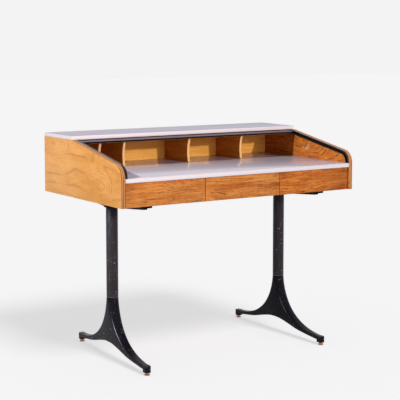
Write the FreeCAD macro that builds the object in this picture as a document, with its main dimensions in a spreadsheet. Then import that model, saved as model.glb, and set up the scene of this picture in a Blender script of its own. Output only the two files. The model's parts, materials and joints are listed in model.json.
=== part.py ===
import FreeCAD
import Part
import Sketcher
import math
import os
import re

# Tambour desk on two cast pedestals. Millimetres, +Z up, front of the desk towards -Y.
# The origin lies on the floor, midway across the width and the depth.

SIZES = [
    # case
    ("case_width", 1068.0, "over both side panels"),
    ("case_depth", 624.0, "front edge of the nose to the back"),
    ("case_floor", 630.0, "height of the underside of the case"),
    ("case_top", 849.5, "height of the side panels"),
    ("panel_thickness", 17.0, "plywood side panel"),
    ("roof_depth", 246.0, "level top edge of a side panel, from the back"),
    ("slope_angle", 10.5, "fall of the side panel's upper edge, in degrees"),
    ("nose_radius", 50.0, "round front of the side panel"),
    ("top_depth", 234.5, "top board, from the back"),
    ("top_thickness", 15.0, "laminated top board"),
    ("desk_height", 737.0, "height of the writing surface"),
    ("desk_thickness", 16.5, "writing board"),
    ("desk_setback", 1.0, "writing board behind the panels' front edges"),
    ("back_thickness", 8.0, "outer back panel"),
    ("floor_thickness", 12.0, "bottom panel of the case"),
    ("floor_setback", 50.0, "bottom panel behind the front, finger room"),
    # pigeonholes
    ("hole_back", 50.0, "pigeonhole back, from the rear of the case"),
    ("hole_back_thickness", 6.0, "pigeonhole back board"),
    ("hole_roof_height", 832.0, "underside of the pigeonhole roof"),
    ("hole_roof_thickness", 3.0, "pigeonhole roof"),
    ("divider_thickness", 10.0, "pigeonhole divider"),
    ("divider_front_top", 73.0, "front edge of a divider at its top"),
    ("divider_front_middle", 84.0, "front edge of a divider at mid height"),
    ("divider_front_foot", 77.0, "front edge of a divider at its foot"),
    # tambour track
    ("track_width", 14.0, "channel, across the run"),
    ("track_depth", 9.0, "channel, out from the side panel"),
    ("groove_width", 8.0, "groove in the channel"),
    ("groove_depth", 6.0, "groove in the channel"),
    ("bend_radius", 60.0, "centre line where the slope meets the level run"),
    ("rear_radius", 38.0, "centre line at the rear turn"),
    ("rear_run", 19.0, "centre line of the rear run, from the rear of the case"),
    ("rear_run_foot", 648.0, "lower end of the rear run"),
    # tambour
    ("rail_depth", 20.0, "lead rail along the slope"),
    ("rail_thickness", 8.0, "lead rail"),
    ("rail_nose", 2.0, "rounding of the rail's front edges"),
    ("rail_gap", 1.0, "lead rail to the channel"),
    ("finger_radius", 3.3, "finger groove along the rail's underside"),
    ("finger_drop", 1.5, "centre of the finger groove below the rail"),
    ("tongue_thickness", 7.0, "rail's end in the groove"),
    ("tongue_setback", 2.5, "tongue inside the rail's front and rear faces"),
    ("tongue_gap", 2.0, "end of rail and slats to the bottom of the groove"),
    ("turn_inset", 0.3, "slats in the rear turn inside its centre line"),
    ("slat_pitch", 17.83, "slat to slat"),
    ("slat_width", 16.8, "slat, across its round face"),
    ("slat_base", 15.0, "slat, across its foot on the canvas"),
    ("slat_thickness", 5.8, "slat on its canvas"),
    ("slat_crown", 1.4, "rise of the slat's round face"),
    ("canvas_thickness", 0.8, "canvas backing"),
    # drawers
    ("partition_thickness", 12.0, "upright between two drawers"),
    ("drawer_pitch", 345.4, "spacing of the drawers"),
    ("front_gap", 2.0, "between two drawer fronts"),
    ("front_thickness", 17.0, "drawer front"),
    ("front_height", 88.5, "drawer front"),
    ("front_setback", 6.0, "drawer front behind the panels' front edges"),
    ("front_lift", 0.5, "drawer front above the underside of the case"),
    ("end_gap", 2.4, "between a drawer front and the side panel"),
    ("pull_radius", 11.0, "finger groove behind the lower edge of a front"),
    ("pull_back", 2.0, "centre of the finger groove behind the front"),
    ("pull_lift", 4.0, "centre of the finger groove above the front's lower edge"),
    ("box_gap", 1.5, "drawer box to the upright beside it"),
    ("box_depth", 515.0, "drawer side"),
    ("box_low", 646.0, "lower edge of a drawer side"),
    ("box_height", 62.0, "drawer side"),
    ("box_side", 12.0, "thickness of a drawer side"),
    ("box_bottom", 5.0, "thickness of a drawer bottom"),
    ("box_bottom_lift", 4.0, "drawer bottom above the side's lower edge"),
    ("runner_height", 14.0, "hardwood runner"),
    ("runner_thickness", 7.5, "hardwood runner"),
    ("runner_low", 676.0, "lower face of a runner"),
    ("runner_gap", 0.5, "runner in its groove"),
    ("groove_start", 12.0, "front end of a drawer side's groove, from the drawer front"),
    ("runner_start", 18.0, "front end of a runner, from the drawer front"),
    ("runner_length", 493.0, "hardwood runner"),
    ("box_back_drop", 4.0, "drawer back below the sides' upper edges"),
    # pedestals
    ("column_spread", 800.0, "column to column"),
    ("column_back", 4.0, "column axis behind the middle of the case"),
    ("column_radius", 23.0, "steel tube"),
    ("column_wall", 3.0, "steel tube"),
    ("foot_height", 241.0, "joint of the tube and the cast foot"),
    ("spigot_radius", 19.8, "centring spigots in the tube"),
    ("spigot_length", 24.0, "centring spigots in the tube"),
    ("spider_low", 592.0, "underside of the bracket's hub"),
    ("hub_radius", 31.0, "bracket hub"),
    ("hub_flange", 1.0, "hub below the arms"),
    ("arm_root", 40.0, "width of a bracket arm at the hub"),
    ("arm_tip", 18.0, "width of a bracket arm at its end"),
    ("arm_reach", 254.0, "end of a bracket arm, from the column axis"),
    ("arm_tip_low", 610.0, "underside of a bracket arm at its end"),
    ("lug_reach", 266.0, "screw lug at the end of an arm, from the column axis"),
    ("lug_radius", 20.0, "screw lug"),
    ("lug_height", 10.5, "thickness of a screw lug"),
    ("lug_hole", 3.2, "radius of the hole in a screw lug"),
    ("rod_radius", 5.0, "tie rod through the column"),
    ("rod_clearance", 0.5, "tie rod in its bores"),
    ("rod_inset", 1.5, "end of the tie rod inside its recess"),
    ("nut_radius", 9.5, "tie rod nut, across its corners"),
    ("nut_height", 8.0, "tie rod nut"),
    ("nut_inset", 3.0, "lower nut above the arch"),
    ("nut_room", 2.0, "recess round a nut"),
    ("recess_start", 10.0, "depth at which the foot's nut recess starts, below the arch"),
    ("column_bevel", 0.6, "bevel at the tube's lower end"),
    # foot
    ("arch_height", 65.0, "top of the arch under a foot"),
    ("swoop_upper", 151.0, "height to which the swoop's upper tangent reaches"),
    ("swoop_reach", 89.0, "reach to which the swoop's lower tangent reaches"),
    ("swoop_lower", 39.0, "height to which the swoop's lower tangent reaches"),
    ("prong_reach", 289.0, "end of the swoop, from the column axis"),
    ("prong_height", 37.0, "end of the swoop"),
    ("foot_reach", 304.0, "column axis to the end of a prong"),
    ("toe_height", 36.0, "top of a prong at its end"),
    ("toe_low", 11.0, "underside of the toe block"),
    ("toe_width", 24.5, "prong at its end"),
    ("toe_corner", 9.0, "corner radius of the toe in plan"),
    ("toe_length", 25.0, "toe block"),
    ("toe_round", 3.0, "bevelled top edge of the toe"),
    ("foot_turn_left", -3.3, "left foot as it stands, in degrees"),
    ("foot_turn_right", 0.0, "right foot as it stands, in degrees"),
    ("glide_reach", 291.0, "column axis to a glide"),
    ("glide_radius", 10.5, "brass glide"),
    ("glide_height", 5.0, "brass glide's disc"),
    ("glide_neck", 7.5, "glide's hexagon neck, across its corners"),
    ("glide_stem", 4.0, "brass glide's stem"),
    ("glide_stem_top", 26.0, "top of the stem"),
]

SLATS_LEVEL = 11
SLATS_TURNING = 3
SLATS_REAR = 4
SLATS_TAIL = 3
NEAR = 0.01
DRAWERS = ("left", "middle", "right")
DIVIDER_PLACES = (-410.0, -302.0, 0.0, 259.0)

doc = FreeCAD.newDocument("TambourDesk")
sheet = doc.addObject("Spreadsheet::Sheet", "Sizes")
nodes = []


def fill_sheet():
    """Write each driving dimension, its alias and its note on a row."""
    for row, (alias, value, note) in enumerate(SIZES, start=1):
        sheet.set("A%d" % row, alias)
        sheet.set("B%d" % row, str(value))
        sheet.set("C%d" % row, note)
        sheet.setAlias("B%d" % row, alias)
    doc.recompute()


def size(formula):
    """Value of a formula over the sheet's aliases."""
    return float(sheet.evalExpression(formula))


def bind(item, prop, formula):
    """Tie a property of an object to a formula over the sheet's aliases."""
    text = re.sub(r"[a-z]+(?:_[a-z]+)+", lambda found: "Sizes." + found.group(0), formula)
    item.setExpression(prop, text)


def node(item, label):
    """Name a finished sub-part after its file and keep it."""
    item.Label = label
    nodes.append(item)
    return item


def board(label, left, front, low, width, depth, height):
    """Plain square-edged board."""
    box = doc.addObject("Part::Box", label)
    bind(box, "Length", width)
    bind(box, "Width", depth)
    bind(box, "Height", height)
    bind(box, "Placement.Base.x", left)
    bind(box, "Placement.Base.y", front)
    bind(box, "Placement.Base.z", low)
    return node(box, label)


def new_body(label, x="0", y="0", z="0", turn=None, axis=(0, 0, 1)):
    """Body of a sub-part, at a place in the desk's frame and turned about an axis."""
    body = doc.addObject("PartDesign::Body", label)
    if turn is not None:
        body.Placement = FreeCAD.Placement(FreeCAD.Vector(), FreeCAD.Rotation(FreeCAD.Vector(*axis), turn))
    bind(body, "Placement.Base.x", x)
    bind(body, "Placement.Base.y", y)
    bind(body, "Placement.Base.z", z)
    return node(body, label)


def origin_plane(body, role):
    """One of a body's own origin planes."""
    return next(item for item in body.Origin.OriginFeatures if item.Role == role)


def new_sketch(body, name, role, shift=(0, 0, 0), tilt=0.0):
    """Sketch on an origin plane, shifted in the plane's axes and tilted about its X axis."""
    sketch = body.newObject("Sketcher::SketchObject", body.Name + "_" + name)
    sketch.AttachmentSupport = [(origin_plane(body, role), "")]
    sketch.MapMode = "FlatFace"
    turn = FreeCAD.Rotation(FreeCAD.Vector(1, 0, 0), tilt)
    sketch.AttachmentOffset = FreeCAD.Placement(FreeCAD.Vector(*shift), turn)
    return sketch


def pin_point(sketch, element, end, name, across, along):
    """Fix a vertex by two named dimensions from the sketch's origin."""
    for kind, suffix, formula in (("DistanceX", "_x", across), ("DistanceY", "_y", along)):
        number = sketch.addConstraint(Sketcher.Constraint(kind, -1, 1, element, end, size(formula)))
        sketch.renameConstraint(number, name + suffix)
        bind(sketch, "Constraints." + name + suffix, formula)


def outline(sketch, corners, name="corner"):
    """Closed outline through corners, each a pair of formulas."""
    first = sketch.GeometryCount
    points = [FreeCAD.Vector(size(across), size(along), 0) for across, along in corners]
    count = len(points)
    for number, point in enumerate(points):
        sketch.addGeometry(Part.LineSegment(point, points[(number + 1) % count]), False)
    for number in range(count):
        following = first + (number + 1) % count
        sketch.addConstraint(Sketcher.Constraint("Coincident", first + number, 2, following, 1))
    for number, (across, along) in enumerate(corners):
        pin_point(sketch, first + number, 1, "%s%d" % (name, number), across, along)


def circle(sketch, name, across, along, radius):
    """Circle with named dimensions."""
    number = sketch.GeometryCount
    centre = FreeCAD.Vector(size(across), size(along), 0)
    sketch.addGeometry(Part.Circle(centre, FreeCAD.Vector(0, 0, 1), size(radius)), False)
    pin_point(sketch, number, 3, name, across, along)
    rule = sketch.addConstraint(Sketcher.Constraint("Radius", number, size(radius)))
    sketch.renameConstraint(rule, name + "_radius")
    bind(sketch, "Constraints." + name + "_radius", radius)


def pad(body, sketch, length, name="pad"):
    """Pad a sketch along its normal."""
    feature = body.newObject("PartDesign::Pad", body.Name + "_" + name)
    feature.Profile = sketch
    bind(feature, "Length", length)
    sketch.Visibility = False
    doc.recompute()
    return feature


def pocket(body, sketch, length, name="pocket", reverse=False):
    """Pocket a sketch and make sure that it takes material away."""
    before = body.Shape.Volume
    feature = body.newObject("PartDesign::Pocket", body.Name + "_" + name)
    feature.Profile = sketch
    feature.Reversed = reverse
    bind(feature, "Length", length)
    doc.recompute()
    if body.Shape.Volume > before - 1e-3:
        raise RuntimeError(feature.Name + " cuts nothing")
    return feature


def round_edges(body, base, chosen, radius, name="round"):
    """Fillet the edges of a feature for which the test holds."""
    names = ["Edge%d" % (number + 1) for number, edge in enumerate(base.Shape.Edges) if chosen(edge)]
    if not names:
        raise RuntimeError(body.Name + " has no edge to round")
    feature = body.newObject("PartDesign::Fillet", body.Name + "_" + name)
    feature.Base = (base, names)
    bind(feature, "Radius", radius)
    doc.recompute()
    return feature


# ---------------------------------------------------------------- case

FRONT = "-case_depth / 2"
BACK = "case_depth / 2"
BEND = "(case_depth / 2 - roof_depth)"
INNER_WIDTH = "(case_width - 2 * panel_thickness)"
CHANNEL_WIDTH = "(case_width - 2 * panel_thickness - 2 * track_depth)"


def side_panel(label, left):
    """Side panel with a sloping upper edge and a round nose."""
    body = new_body(label)
    nose_top = "case_top - (case_depth - roof_depth) * tan(slope_angle)"
    sketch = new_sketch(body, "profile", "YZ_Plane", (0, 0, left))
    outline(sketch, [
        (FRONT, "case_floor"),
        (BACK, "case_floor"),
        (BACK, "case_top"),
        (BEND, "case_top"),
        (FRONT, nose_top),
    ])
    padded = pad(body, sketch, "panel_thickness")
    nose = size(FRONT)
    height = size(nose_top)
    round_edges(body, padded, lambda edge: runs_along_x(edge, nose, height), "nose_radius", "nose")


def runs_along_x(edge, y, z=None):
    """Whether an edge runs along X at a distance along Y, and at a height if one is given."""
    ends = [end.Point for end in edge.Vertexes]
    height = ends[0].z if z is None else z
    return len(ends) == 2 and all(abs(end.y - y) < NEAR and abs(end.z - height) < NEAR for end in ends)


def case_boards():
    """The case's boards between and on top of the side panels."""
    inner_left = "panel_thickness - case_width / 2"
    board("top_board", "-case_width / 2", "case_depth / 2 - top_depth", "case_top",
          "case_width", "top_depth", "top_thickness")
    board("writing_board", inner_left, FRONT + " + desk_setback", "desk_height - desk_thickness",
          INNER_WIDTH, "case_depth - desk_setback - hole_back", "desk_thickness")
    board("back_panel", inner_left, "case_depth / 2 - back_thickness", "case_floor",
          INNER_WIDTH, "back_thickness", "case_top - case_floor")
    board("bottom_panel", inner_left, FRONT + " + floor_setback", "case_floor",
          INNER_WIDTH, "case_depth - floor_setback - back_thickness", "floor_thickness")
    front = FRONT + " + front_setback + front_thickness + front_gap / 2"
    for side, sign in (("left", -1), ("right", 1)):
        board("drawer_partition_" + side,
              "%d * drawer_pitch / 2 - partition_thickness / 2" % sign, front,
              "case_floor + floor_thickness", "partition_thickness",
              "case_depth - hole_back - front_setback - front_thickness - front_gap / 2",
              "desk_height - desk_thickness - case_floor - floor_thickness")


# ---------------------------------------------------------------- pigeonholes

def divider(label, place):
    """Upright divider with a hollowed front edge."""
    body = new_body(label)
    sketch = new_sketch(body, "side", "YZ_Plane", (0, 0, place - size("divider_thickness") / 2))
    rear = "case_depth / 2 - hole_back"
    foot = FreeCAD.Vector(size("divider_front_foot"), size("desk_height"), 0)
    middle = FreeCAD.Vector(size("divider_front_middle"), size("(desk_height + hole_roof_height) / 2"), 0)
    top = FreeCAD.Vector(size("divider_front_top"), size("hole_roof_height"), 0)
    rear_foot = FreeCAD.Vector(size(rear), foot.y, 0)
    rear_top = FreeCAD.Vector(size(rear), top.y, 0)
    for start, end in ((foot, rear_foot), (rear_foot, rear_top), (rear_top, top)):
        sketch.addGeometry(Part.LineSegment(start, end), False)
    sketch.addGeometry(Part.Arc(top, middle, foot), False)
    sketch.addConstraint(Sketcher.Constraint("Block", 3))
    for number in range(2):
        sketch.addConstraint(Sketcher.Constraint("Coincident", number, 2, number + 1, 1))
    pin_point(sketch, 0, 1, "foot", "divider_front_foot", "desk_height")
    pin_point(sketch, 1, 1, "rear_foot", rear, "desk_height")
    pin_point(sketch, 2, 1, "rear_top", rear, "hole_roof_height")
    pin_point(sketch, 2, 2, "top", "divider_front_top", "hole_roof_height")
    pad(body, sketch, "divider_thickness")


def pigeonholes():
    """Back, roof and dividers of the pigeonholes."""
    board("pigeonhole_back", "panel_thickness - case_width / 2", "case_depth / 2 - hole_back",
          "case_floor + floor_thickness", INNER_WIDTH, "hole_back_thickness",
          "hole_roof_height - case_floor - floor_thickness")
    board("pigeonhole_roof", "panel_thickness + track_depth - case_width / 2", "divider_front_top",
          "hole_roof_height", CHANNEL_WIDTH, "case_depth / 2 - hole_back - divider_front_top",
          "hole_roof_thickness")
    for number, place in enumerate(DIVIDER_PLACES, start=1):
        divider("divider_%d" % number, place)


# ---------------------------------------------------------------- tambour

class Run:
    """Centre line of the channel, in the YZ plane: nose, slope, level run, rear turn, rear run."""

    def __init__(self):
        inset = size("track_width / 2")
        self.slope = math.radians(size("slope_angle"))
        self.forward = FreeCAD.Vector(-math.cos(self.slope), -math.sin(self.slope), 0)
        self.level = size("case_top") - inset
        self.bend = FreeCAD.Vector(size(BEND) + inset * math.tan(self.slope / 2), self.level, 0)
        self.rear = size("case_depth / 2 - rear_run")
        self.turn_start = self.rear - size("rear_radius")
        self.turn_centre = FreeCAD.Vector(self.turn_start, self.level - size("rear_radius"), 0)
        self.front = size(FRONT) + inset

    def at(self, distance, inward=0.0):
        """Place and angle in degrees of the centre line at a distance behind the bend."""
        level = self.turn_start - self.bend.x
        radius = size("rear_radius")
        turn = radius * math.pi / 2
        if distance <= level:
            return self.bend.x + distance, self.level - inward, 0.0
        if distance <= level + turn:
            angle = (distance - level) / radius
            reach = radius - inward
            return (self.turn_centre.x + reach * math.sin(angle),
                    self.turn_centre.y + reach * math.cos(angle), -math.degrees(angle))
        return self.rear - inward, self.turn_centre.y - (distance - level - turn), -90.0

    def corner_arc(self, corner, before, after, radius):
        """Arc of a radius tangent to two unit directions that meet at a corner."""
        turn = math.acos(before.dot(after))
        setback = radius * math.tan(turn / 2)
        start = corner - before * setback
        end = corner + after * setback
        inward = after - before
        inward.normalize()
        middle = corner + inward * (radius / math.cos(turn / 2) - radius)
        return start, middle, end

    def edges(self):
        """Lines and arcs of the centre line from the writing board to the foot of the rear run."""
        up = FreeCAD.Vector(0, 1, 0)
        rise = self.forward * -1
        back = FreeCAD.Vector(1, 0, 0)
        down = FreeCAD.Vector(0, -1, 0)
        fall = (self.bend.x - self.front) * math.tan(self.slope)
        nose_corner = FreeCAD.Vector(self.front, self.level - fall, 0)
        rear_corner = FreeCAD.Vector(self.rear, self.level, 0)
        nose = self.corner_arc(nose_corner, up, rise, size("nose_radius - track_width / 2"))
        bend = self.corner_arc(self.bend, rise, back, size("bend_radius"))
        rear = self.corner_arc(rear_corner, back, down, size("rear_radius"))
        start = FreeCAD.Vector(self.front, size("desk_height"), 0)
        end = FreeCAD.Vector(self.rear, size("rear_run_foot"), 0)
        return [
            Part.LineSegment(start, nose[0]),
            Part.Arc(*nose),
            Part.LineSegment(nose[2], bend[0]),
            Part.Arc(*bend),
            Part.LineSegment(bend[2], rear[0]),
            Part.Arc(*rear),
            Part.LineSegment(rear[2], end),
        ]


def track(label, sign, run):
    """Grooved channel swept along the run, on the inner face of a side panel."""
    body = new_body(label)
    path = new_sketch(body, "path", "YZ_Plane", (0, 0, sign * size("case_width / 2 - panel_thickness")))
    path.addGeometry(run.edges(), False)
    for number in range(path.GeometryCount):
        path.addConstraint(Sketcher.Constraint("Block", number))
    section = new_sketch(body, "section", "XY_Plane", (0, 0, size("desk_height")))
    wall = "%d * (case_width / 2 - panel_thickness)" % sign
    lip = "%d * (case_width / 2 - panel_thickness - track_depth)" % sign
    floor = "%d * (case_width / 2 - panel_thickness - track_depth + groove_depth)" % sign
    near = FRONT + " + (track_width - groove_width) / 2"
    far = FRONT + " + (track_width + groove_width) / 2"
    outline(section, [
        (wall, FRONT),
        (lip, FRONT),
        (lip, near),
        (floor, near),
        (floor, far),
        (lip, far),
        (lip, FRONT + " + track_width"),
        (wall, FRONT + " + track_width"),
    ])
    sweep = body.newObject("PartDesign::AdditivePipe", label + "_sweep")
    sweep.Profile = section
    sweep.Spine = (path, ["Edge%d" % (number + 1) for number in range(path.GeometryCount)])
    doc.recompute()


def lead_rail(run):
    """Rail that pulls the tambour, with tongues that run in the grooves."""
    body = new_body("tambour_lead_rail", "0", str(run.bend.x), str(run.bend.y),
                    size("slope_angle"), (1, 0, 0))
    half = size("case_width / 2 - panel_thickness - track_depth - rail_gap")
    section = new_sketch(body, "section", "YZ_Plane", (0, 0, -half))
    outline(section, [
        ("-rail_depth", "-rail_thickness / 2"),
        ("0", "-rail_thickness / 2"),
        ("0", "rail_thickness / 2"),
        ("-rail_depth", "rail_thickness / 2"),
    ])
    padded = pad(body, section, CHANNEL_WIDTH + " - 2 * rail_gap", "bar")
    depth = size("rail_depth")
    round_edges(body, padded, lambda edge: runs_along_x(edge, -depth), "rail_nose")
    groove = new_sketch(body, "finger_groove", "YZ_Plane", (0, 0, -half))
    circle(groove, "finger", "-rail_depth / 2", "-rail_thickness / 2 - finger_drop", "finger_radius")
    pocket(body, groove, CHANNEL_WIDTH + " - 2 * rail_gap", "finger", reverse=True)
    reach = size("case_width / 2 - panel_thickness - track_depth + groove_depth - tongue_gap")
    ends = new_sketch(body, "tongue", "YZ_Plane", (0, 0, -reach))
    outline(ends, [
        ("tongue_setback - rail_depth", "-tongue_thickness / 2"),
        ("-tongue_setback", "-tongue_thickness / 2"),
        ("-tongue_setback", "tongue_thickness / 2"),
        ("tongue_setback - rail_depth", "tongue_thickness / 2"),
    ])
    length = "groove_depth - tongue_gap + rail_gap"
    left_end = pad(body, ends, length, "left_tongue")
    mirrored = body.newObject("PartDesign::Mirrored", "right_tongue")
    mirrored.Originals = [left_end]
    mirrored.MirrorPlane = (origin_plane(body, "YZ_Plane"), [""])
    body.Tip = mirrored
    doc.recompute()


def slats(label, count, place):
    """Round-faced slats side by side on their canvas, at a place and angle on the run."""
    across, up, angle = place
    body = new_body(label, "0", str(across), str(up), angle, (1, 0, 0))
    reach = size("case_width / 2 - panel_thickness - track_depth + groove_depth - tongue_gap")
    low = "(-(slat_thickness + canvas_thickness) / 2)"
    seat = low + " + canvas_thickness"
    shoulder = seat + " + slat_thickness - slat_crown"
    section = new_sketch(body, "slat", "YZ_Plane", (0, 0, -reach))
    corners = [("-slat_width / 2", shoulder), ("-slat_base / 2", seat), ("slat_base / 2", seat),
               ("slat_width / 2", shoulder)]
    points = [FreeCAD.Vector(size(y), size(z), 0) for y, z in corners]
    for start, end in zip(points, points[1:]):
        section.addGeometry(Part.LineSegment(start, end), False)
    crown = FreeCAD.Vector(0, size(seat + " + slat_thickness"), 0)
    section.addGeometry(Part.Arc(points[3], crown, points[0]), False)
    section.addConstraint(Sketcher.Constraint("Block", 3))
    for number in range(2):
        section.addConstraint(Sketcher.Constraint("Coincident", number, 2, number + 1, 1))
    for number, (y, z) in enumerate(corners[:3]):
        pin_point(section, number, 1, "slat%d" % number, y, z)
    pin_point(section, 2, 2, "slat3", *corners[3])
    length = "2 * (case_width / 2 - panel_thickness - track_depth + groove_depth - tongue_gap)"
    canvas = new_sketch(body, "canvas", "YZ_Plane", (0, 0, -reach))
    run_end = "%d * slat_pitch + slat_base / 2" % (count - 1)
    outline(canvas, [
        ("-slat_base / 2", low),
        (run_end, low),
        (run_end, seat),
        ("-slat_base / 2", seat),
    ])
    pad(body, canvas, length, "canvas_strip")
    slat = pad(body, section, length, "slat_strip")
    if count > 1:
        row = body.newObject("PartDesign::LinearPattern", label + "_row")
        row.Originals = [slat]
        row.Direction = (origin_plane(body, "Y_Axis"), [""])
        row.Occurrences = count
        bind(row, "Length", "%d * slat_pitch" % (count - 1))
        body.Tip = row
    doc.recompute()


def tambour(run):
    """Channels, lead rail and the slatted curtain, drawn back under the top board."""
    track("tambour_track_left", -1, run)
    track("tambour_track_right", 1, run)
    lead_rail(run)
    pitch = size("slat_pitch")
    slats("curtain_front", SLATS_LEVEL, run.at(0.5 * pitch))
    first_rear = SLATS_LEVEL + SLATS_TURNING
    for number in range(SLATS_LEVEL, first_rear):
        slats("curtain_slat_%d" % (number + 1), 1, run.at((number + 0.5) * pitch, size("turn_inset")))
    slats("curtain_rear", SLATS_REAR, run.at((first_rear + 0.5) * pitch))
    slats("curtain_tail", SLATS_TAIL, run.at((first_rear + SLATS_REAR + 0.5) * pitch))


# ---------------------------------------------------------------- drawers

def drawer_front(label, left, width):
    """Drawer front with a finger groove along the back of its lower edge."""
    body = new_body(label)
    profile = new_sketch(body, "profile", "YZ_Plane", (0, 0, size(left)))
    face = FRONT + " + front_setback"
    rear = face + " + front_thickness"
    low = "case_floor + front_lift"
    outline(profile, [
        (face, low),
        (rear, low),
        (rear, low + " + front_height"),
        (face, low + " + front_height"),
    ])
    pad(body, profile, width)
    groove = new_sketch(body, "pull", "YZ_Plane", (0, 0, size(left)))
    circle(groove, "pull", rear + " + pull_back", low + " + pull_lift", "pull_radius")
    pocket(body, groove, width, "pull", reverse=True)


def drawer_side(label, left, groove_left):
    """Drawer side, grooved along its outer face for the runner."""
    body = new_body(label)
    front = FRONT + " + front_setback + front_thickness"
    profile = new_sketch(body, "profile", "YZ_Plane", (0, 0, size(left)))
    outline(profile, [
        (front, "box_low"),
        (front + " + box_depth", "box_low"),
        (front + " + box_depth", "box_low + box_height"),
        (front, "box_low + box_height"),
    ])
    pad(body, profile, "box_side")
    groove = new_sketch(body, "groove", "YZ_Plane", (0, 0, size(groove_left)))
    outline(groove, [
        (front + " + groove_start", "runner_low - runner_gap"),
        (front + " + box_depth", "runner_low - runner_gap"),
        (front + " + box_depth", "runner_low + runner_height + runner_gap"),
        (front + " + groove_start", "runner_low + runner_height + runner_gap"),
    ])
    pocket(body, groove, "runner_thickness - box_gap + runner_gap", "groove", reverse=True)


def drawer(name, number):
    """Front, two sides, back and bottom of one drawer."""
    middle = "%d * drawer_pitch" % (number - 1)
    wall_left = middle + " - drawer_pitch / 2 + partition_thickness / 2"
    wall_right = middle + " + drawer_pitch / 2 - partition_thickness / 2"
    face_left = middle + " - drawer_pitch / 2 + front_gap / 2"
    face_right = middle + " + drawer_pitch / 2 - front_gap / 2"
    if number == 0:
        wall_left = "panel_thickness - case_width / 2"
        face_left = wall_left + " + end_gap"
    if number == 2:
        wall_right = "case_width / 2 - panel_thickness"
        face_right = wall_right + " - end_gap"
    prefix = "drawer_" + name + "_"
    box_left = wall_left + " + box_gap"
    box_right = wall_right + " - box_gap"
    groove = "runner_thickness - box_gap + runner_gap"
    drawer_front(prefix + "front", face_left, "(%s) - (%s)" % (face_right, face_left))
    drawer_side(prefix + "side_left", box_left, box_left)
    drawer_side(prefix + "side_right", box_right + " - box_side", box_right + " - (" + groove + ")")
    front = FRONT + " + front_setback + front_thickness"
    inside = "(%s) - (%s) - 2 * box_side" % (box_right, box_left)
    board(prefix + "back", box_left + " + box_side", front + " + box_depth - box_side",
          "box_low + box_bottom_lift", inside, "box_side", "box_height - box_bottom_lift - box_back_drop")
    board(prefix + "bottom", box_left + " + box_side", front, "box_low + box_bottom_lift",
          inside, "box_depth - box_side", "box_bottom")
    runner_front = front + " + runner_start"
    board("runner_" + name + "_left", wall_left, runner_front, "runner_low",
          "runner_thickness", "runner_length", "runner_height")
    board("runner_" + name + "_right", wall_right + " - runner_thickness", runner_front, "runner_low",
          "runner_thickness", "runner_length", "runner_height")


# ---------------------------------------------------------------- pedestals

# Along the upper outline: share, reach and height of the inner point on the centre plane or
# the arch, half width, size of the edge's bevel, half angle of the crown in degrees.
FLARE = (
    (0.00, "0", "foot_height", "column_radius", 23.0, 52.0),
    (0.10, "0", "212", "22.8", 16.0, 46.0),
    (0.20, "0", "181", "22.3", 11.0, 39.0),
    (0.30, "0", "146", "21.6", 7.5, 32.0),
    (0.40, "0", "103", "20.7", 5.5, 26.0),
    (0.50, "0", "arch_height", "19.8", 4.5, 22.0),
)
PRONG = (
    FLARE[-1],
    (0.58, "34", "62.5", "19.0", 4.1, 19.0),
    (0.68, "84", "52.8", "17.9", 3.8, 16.5),
    (0.80, "150", "37.5", "16.4", 3.4, 14.0),
    (0.91, "217", "28", "14.2", 3.2, 12.0),
    (1.00, "287", "20", "12", 3.0, 11.0),
)
CROWN_STRIPS = 6
SOCKET_SIDE = math.radians(20)


def on_outline(share):
    """Point of the swooping upper outline, as reach from the column axis and height."""
    rest = 1 - share
    weights = (rest ** 3, 3 * share * rest ** 2, 3 * share ** 2 * rest, share ** 3)
    reaches = [size(name) for name in ("column_radius", "column_radius", "swoop_reach", "prong_reach")]
    heights = [size(name) for name in ("foot_height", "swoop_upper", "swoop_lower", "prong_height")]
    return [sum(weight * place for weight, place in zip(weights, places)) for places in (reaches, heights)]


def crowned(half, depth, bevel, crown):
    """Corners of a prong's section: upright sides, bevelled edges and a crown in flat strips."""
    angle = math.radians(crown)
    edge = half - bevel * (1 - math.sin(angle))
    radius = edge / math.sin(angle)
    shoulder = depth - radius * (1 - math.cos(angle)) - bevel * math.cos(angle)
    side = SOCKET_SIDE if shoulder < NEAR else 0.0
    rim = (half - bevel * (1 - math.cos(side)), shoulder + bevel * math.sin(side))
    turns = [angle * (2 * number / CROWN_STRIPS - 1) for number in range(CROWN_STRIPS + 1)]
    top = [(radius * math.sin(turn), depth - radius * (1 - math.cos(turn))) for turn in turns]
    return [(-half, 0), (-rim[0], rim[1])] + top + [rim, (half, 0)]


def foot_section(body, name, station):
    """Section of a prong across the swoop, between its inner point and the upper outline."""
    share, inner_reach, inner_height, half, bevel, crown = station
    outer_reach, outer_height = on_outline(share)
    reach = size(inner_reach) - outer_reach
    rise = outer_height - size(inner_height)
    tilt = math.degrees(math.atan2(rise, reach))
    sketch = new_sketch(body, name, "XY_Plane", (0, -size(inner_reach), size(inner_height)), tilt)
    corners = [FreeCAD.Vector(across, along, 0)
               for across, along in crowned(size(half), math.hypot(reach, rise), bevel, crown)]
    for start, end in zip(corners, corners[1:] + corners[:1]):
        sketch.addGeometry(Part.LineSegment(start, end), False)
    return sketch


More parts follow.
